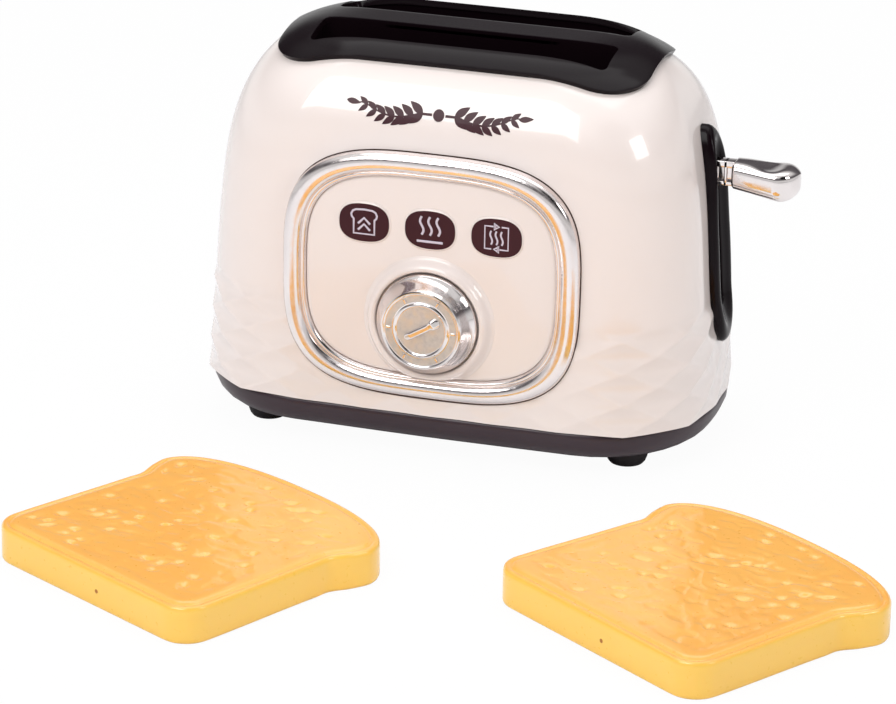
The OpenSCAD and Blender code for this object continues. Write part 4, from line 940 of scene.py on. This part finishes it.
toastColumns, toastRows = 320, 90
toastRim = evenly(toastOutline(), toastColumns)
for _ in range(2):  # softened a little, as a moulding is
    around = zip(toastRim[-1:] + toastRim[:-1], toastRim, toastRim[1:] + toastRim[:1])
    toastRim = [[(a + 2 * b + c) / 4 for a, b, c in zip(*three)] for three in around]
toastInward = []
for i in range(toastColumns):
    before, after = toastRim[i - 3], toastRim[(i + 3) % toastColumns]
    along = Vector((after[0] - before[0], after[1] - before[1])).normalized()
    toastInward.append((-along.y, along.x))
# how far in from the side, and how high, from the underside over the rounded edge and the groove
toastEdge = [(1.6, 0), (0.9, 0.1), (0.35, 0.45), (0.05, 1.1), (0, 1.9), (0, 5), (0, 9), (0, 11.4),
             (0.08, 12.2), (0.35, 12.9), (0.85, 13.35), (1.45, 13.5), (2.0, 13.35), (2.4, 13.05),
             (2.75, 12.95), (3.1, 13.1), (3.5, 13.5), (4.1, 13.85), (5.0, 14.0), (6.5, 14.0)]

def newDents(seed):  # sparse oblong dents: place, turn, length, width and depth of each
    chance = random.Random(seed)
    ranges = ((-46, 46), (6, 96), (0.2, 1.1), (1.4, 2.8), (0.8, 1.4), (0.6, 1.3))
    return [[chance.uniform(low, high) for low, high in ranges] for _ in range(toast["dents"])]

def toastDent(x, y, dents):
    far = dents[0][0]
    depth = -0.25 * smoothstep(-0.2, 0.4, noise.noise(Vector((x * 0.07, y * 0.13, far))))
    depth -= 0.22 * smoothstep(0.0, 0.4, noise.noise(Vector((x * 0.18, y * 0.26, far + 5))))
    for dentX, dentY, turn, long, wide, deep in dents:
        dx, dy = x - dentX, y - dentY
        if abs(dx) < 7 and abs(dy) < 7:
            c, s = math.cos(turn), math.sin(turn)
            spread = ((dx * c + dy * s) / long) ** 2 + ((dy * c - dx * s) / wide) ** 2
            depth -= deep * math.exp(-spread ** 1.5)
    return toast["dent"] * depth

def toastAt(at, seed):
    a = math.radians(at[2])
    dents = newDents(seed)
    def place(u, v):
        i = round(u * toastColumns) % toastColumns
        row = round(v * toastRows)
        reach, z = toastEdge[max(0, min(row, len(toastEdge)) - 1)]
        x, y = [rim + inward * reach for rim, inward in zip(toastRim[i], toastInward[i])]
        if row == 0:  # the middle of the underside
            x, y = 0, toast["high"] / 2
        elif row > len(toastEdge):  # the dented top, drawn in to its middle
            t = (row - len(toastEdge)) / (toastRows - len(toastEdge))
            x, y = x * (1 - t), y + (toast["high"] / 2 - y) * t
            z += toastDent(x, y, dents) * smoothstep(0, 0.06, t)
        return at[0] + x * math.cos(a) - y * math.sin(a), at[1] + x * math.sin(a) + y * math.cos(a), z
    return place

for name, body, at, seed in (("toast_left", "slice_left", (-72.1, -212.8, -28.8), 3),
                             ("toast_right", "slice_right", (99.4, -193.9, -34.5), 8)):
    sliceSkin = wrapGrid(name + "Skin", toastColumns, toastRows, toastAt(at, seed))
    turn = math.radians(at[2])
    c, s = math.cos(turn), math.sin(turn)
    spot = Vector((at[0] - toast["ventOut"] * s + toast["ventAside"] * c,
                   at[1] + toast["ventOut"] * c + toast["ventAside"] * s, toast["ventHigh"]))
    deselectAll()  # a dark disc of painted shade for the small vent hole near the middle of the foot
    bpy.ops.mesh.primitive_cylinder_add(vertices=24, radius=toast["ventRadius"] * mm, depth=0.6 * mm,
                                        location=spot * mm, rotation=(math.pi / 2, 0, turn))
    bpy.ops.object.transform_apply(location=True, rotation=True, scale=True)
    ventShadeDisc = bpy.context.object
    ventShadeDisc.name = ventShadeDisc.data.name = name + "VentHoleShade"
    finish(ventShadeDisc, body, ventShade, "toast_plastic")
    smooth(sliceSkin, 60)
    finish(sliceSkin, body, toastPlastic, "toast_plastic", name)
print("slices ready")

# ---- floor, light and camera

studio = {"floor": (0.90, 0.90, 0.91), "floorGlow": 0.96, "key": 8.4, "fill": 2.6, "top": 5.2, "world": 0.78,
          "flagAim": (0.60, -0.52, 0.61), "flagEdge": (0.925, 0.965)}

deselectAll()
bpy.ops.mesh.primitive_plane_add(size=8, location=(0, 0, 0))
floor = bpy.context.object
floor.name = "floor"
floorPaint, tree, shader = newMaterial("floorPaint", studio["floor"], 0.6)
pale = addNode(tree, "Emission", {"Color": (1, 1, 1, 1)})  # the camera sees it evenly pale
rays = addNode(tree, "LightPath")
share = tree.nodes.new("ShaderNodeMath")
share.operation = "MULTIPLY"
share.inputs[1].default_value = studio["floorGlow"]
tree.links.new(rays.outputs["Is Camera Ray"], share.inputs[0])
blend = addNode(tree, "MixShader", {0: share.outputs[0], 1: shader.outputs["BSDF"],
                                    2: pale.outputs["Emission"]})
tree.links.new(blend.outputs["Shader"], tree.nodes["Material Output"].inputs["Surface"])
floor.data.materials.append(floorPaint)

world = bpy.data.worlds.new("studioWorld")
bpy.context.scene.world = world
world.use_nodes = True
tree = world.node_tree
background = tree.nodes["Background"]
direction = addNode(tree, "TexCoord").outputs["Generated"]
height = addNode(tree, "SeparateXYZ", {"Vector": direction}).outputs["Z"]
band = [(0, (1, 1, 1)), (0.16, (0.85, 0.85, 0.85)), (0.3, (0.11, 0.10, 0.11)), (0.5, (0.2, 0.19, 0.2)),
        (0.72, (1.0, 1.0, 1.0))]  # a dark band of room between floor and ceiling
tree.links.new(addRamp(tree, height, band), background.inputs["Color"])
towards = tree.nodes.new("ShaderNodeVectorMath")  # and a dark flag, high on the right
towards.operation = "DOT_PRODUCT"
towards.inputs[1].default_value = studio["flagAim"]
tree.links.new(direction, towards.inputs[0])
strength = addRange(tree, towards.outputs["Value"], studio["world"], 0.01, *studio["flagEdge"])
tree.links.new(strength, background.inputs["Strength"])
white = addNode(tree, "Background", {"Strength": 1})
rays = addNode(tree, "LightPath")
either = tree.nodes.new("ShaderNodeMath")
either.operation = "MAXIMUM"
tree.links.new(rays.outputs["Is Camera Ray"], either.inputs[0])
tree.links.new(rays.outputs["Is Transmission Ray"], either.inputs[1])
blend = addNode(tree, "MixShader", {0: either.outputs[0], 1: background.outputs["Background"],
                                    2: white.outputs["Background"]})
tree.links.new(blend.outputs["Shader"], tree.nodes["World Output"].inputs["Surface"])

def addLamp(name, place, aim, wide, tall, watts):
    data = bpy.data.lights.new(name, "AREA")
    data.shape = "RECTANGLE"
    data.size, data.size_y = wide, tall
    data.energy = watts
    lamp = bpy.data.objects.new(name, data)
    bpy.context.scene.collection.objects.link(lamp)
    lamp.location = place
    lamp.rotation_euler = (Vector(aim) - Vector(place)).to_track_quat("-Z", "Y").to_euler()

addLamp("keyBox", (-0.30, -0.94, 1.02), (0, 0, 0.1), 0.8, 0.72, studio["key"])
addLamp("windowBox", (1.12, -0.36, 0.72), (0.05, 0, 0.1), 0.36, 0.36, studio["fill"])
addLamp("topBox", (0, 0.25, 1.2), (0, 0, 0.1), 1.2, 0.8, studio["top"])

camera = {"turn": 16.72, "height": 21.08, "roll": 1.06, "distance": 1508.6, "focal": 3966.8,
          "aim": (-8.99, 0, 21.75), "imageWide": 896, "sensor": 36}
azimuth, elevation = math.radians(camera["turn"]), math.radians(camera["height"])
back = Vector((math.sin(azimuth) * math.cos(elevation), -math.cos(azimuth) * math.cos(elevation),
               math.sin(elevation)))
rightward = Vector((math.cos(azimuth), math.sin(azimuth), 0))
upward = back.cross(rightward)
tilt = math.radians(camera["roll"])
sideAxis = rightward * math.cos(tilt) + upward * math.sin(tilt)
upAxis = upward * math.cos(tilt) - rightward * math.sin(tilt)
data = bpy.data.cameras.new("photoCamera")
data.sensor_fit = "HORIZONTAL"
data.sensor_width = camera["sensor"]
data.lens = camera["focal"] / camera["imageWide"] * camera["sensor"]
data.clip_start, data.clip_end = 0.05, 20
eye = bpy.data.objects.new("photoCamera", data)
bpy.context.scene.collection.objects.link(eye)
place = (Vector(camera["aim"]) + back * camera["distance"]) * mm
eye.matrix_world = Matrix.Translation(place) @ Matrix((sideAxis, upAxis, back)).transposed().to_4x4()
bpy.context.scene.camera = eye
bpy.context.scene.view_settings.view_transform = "Standard"
print("stage ready")
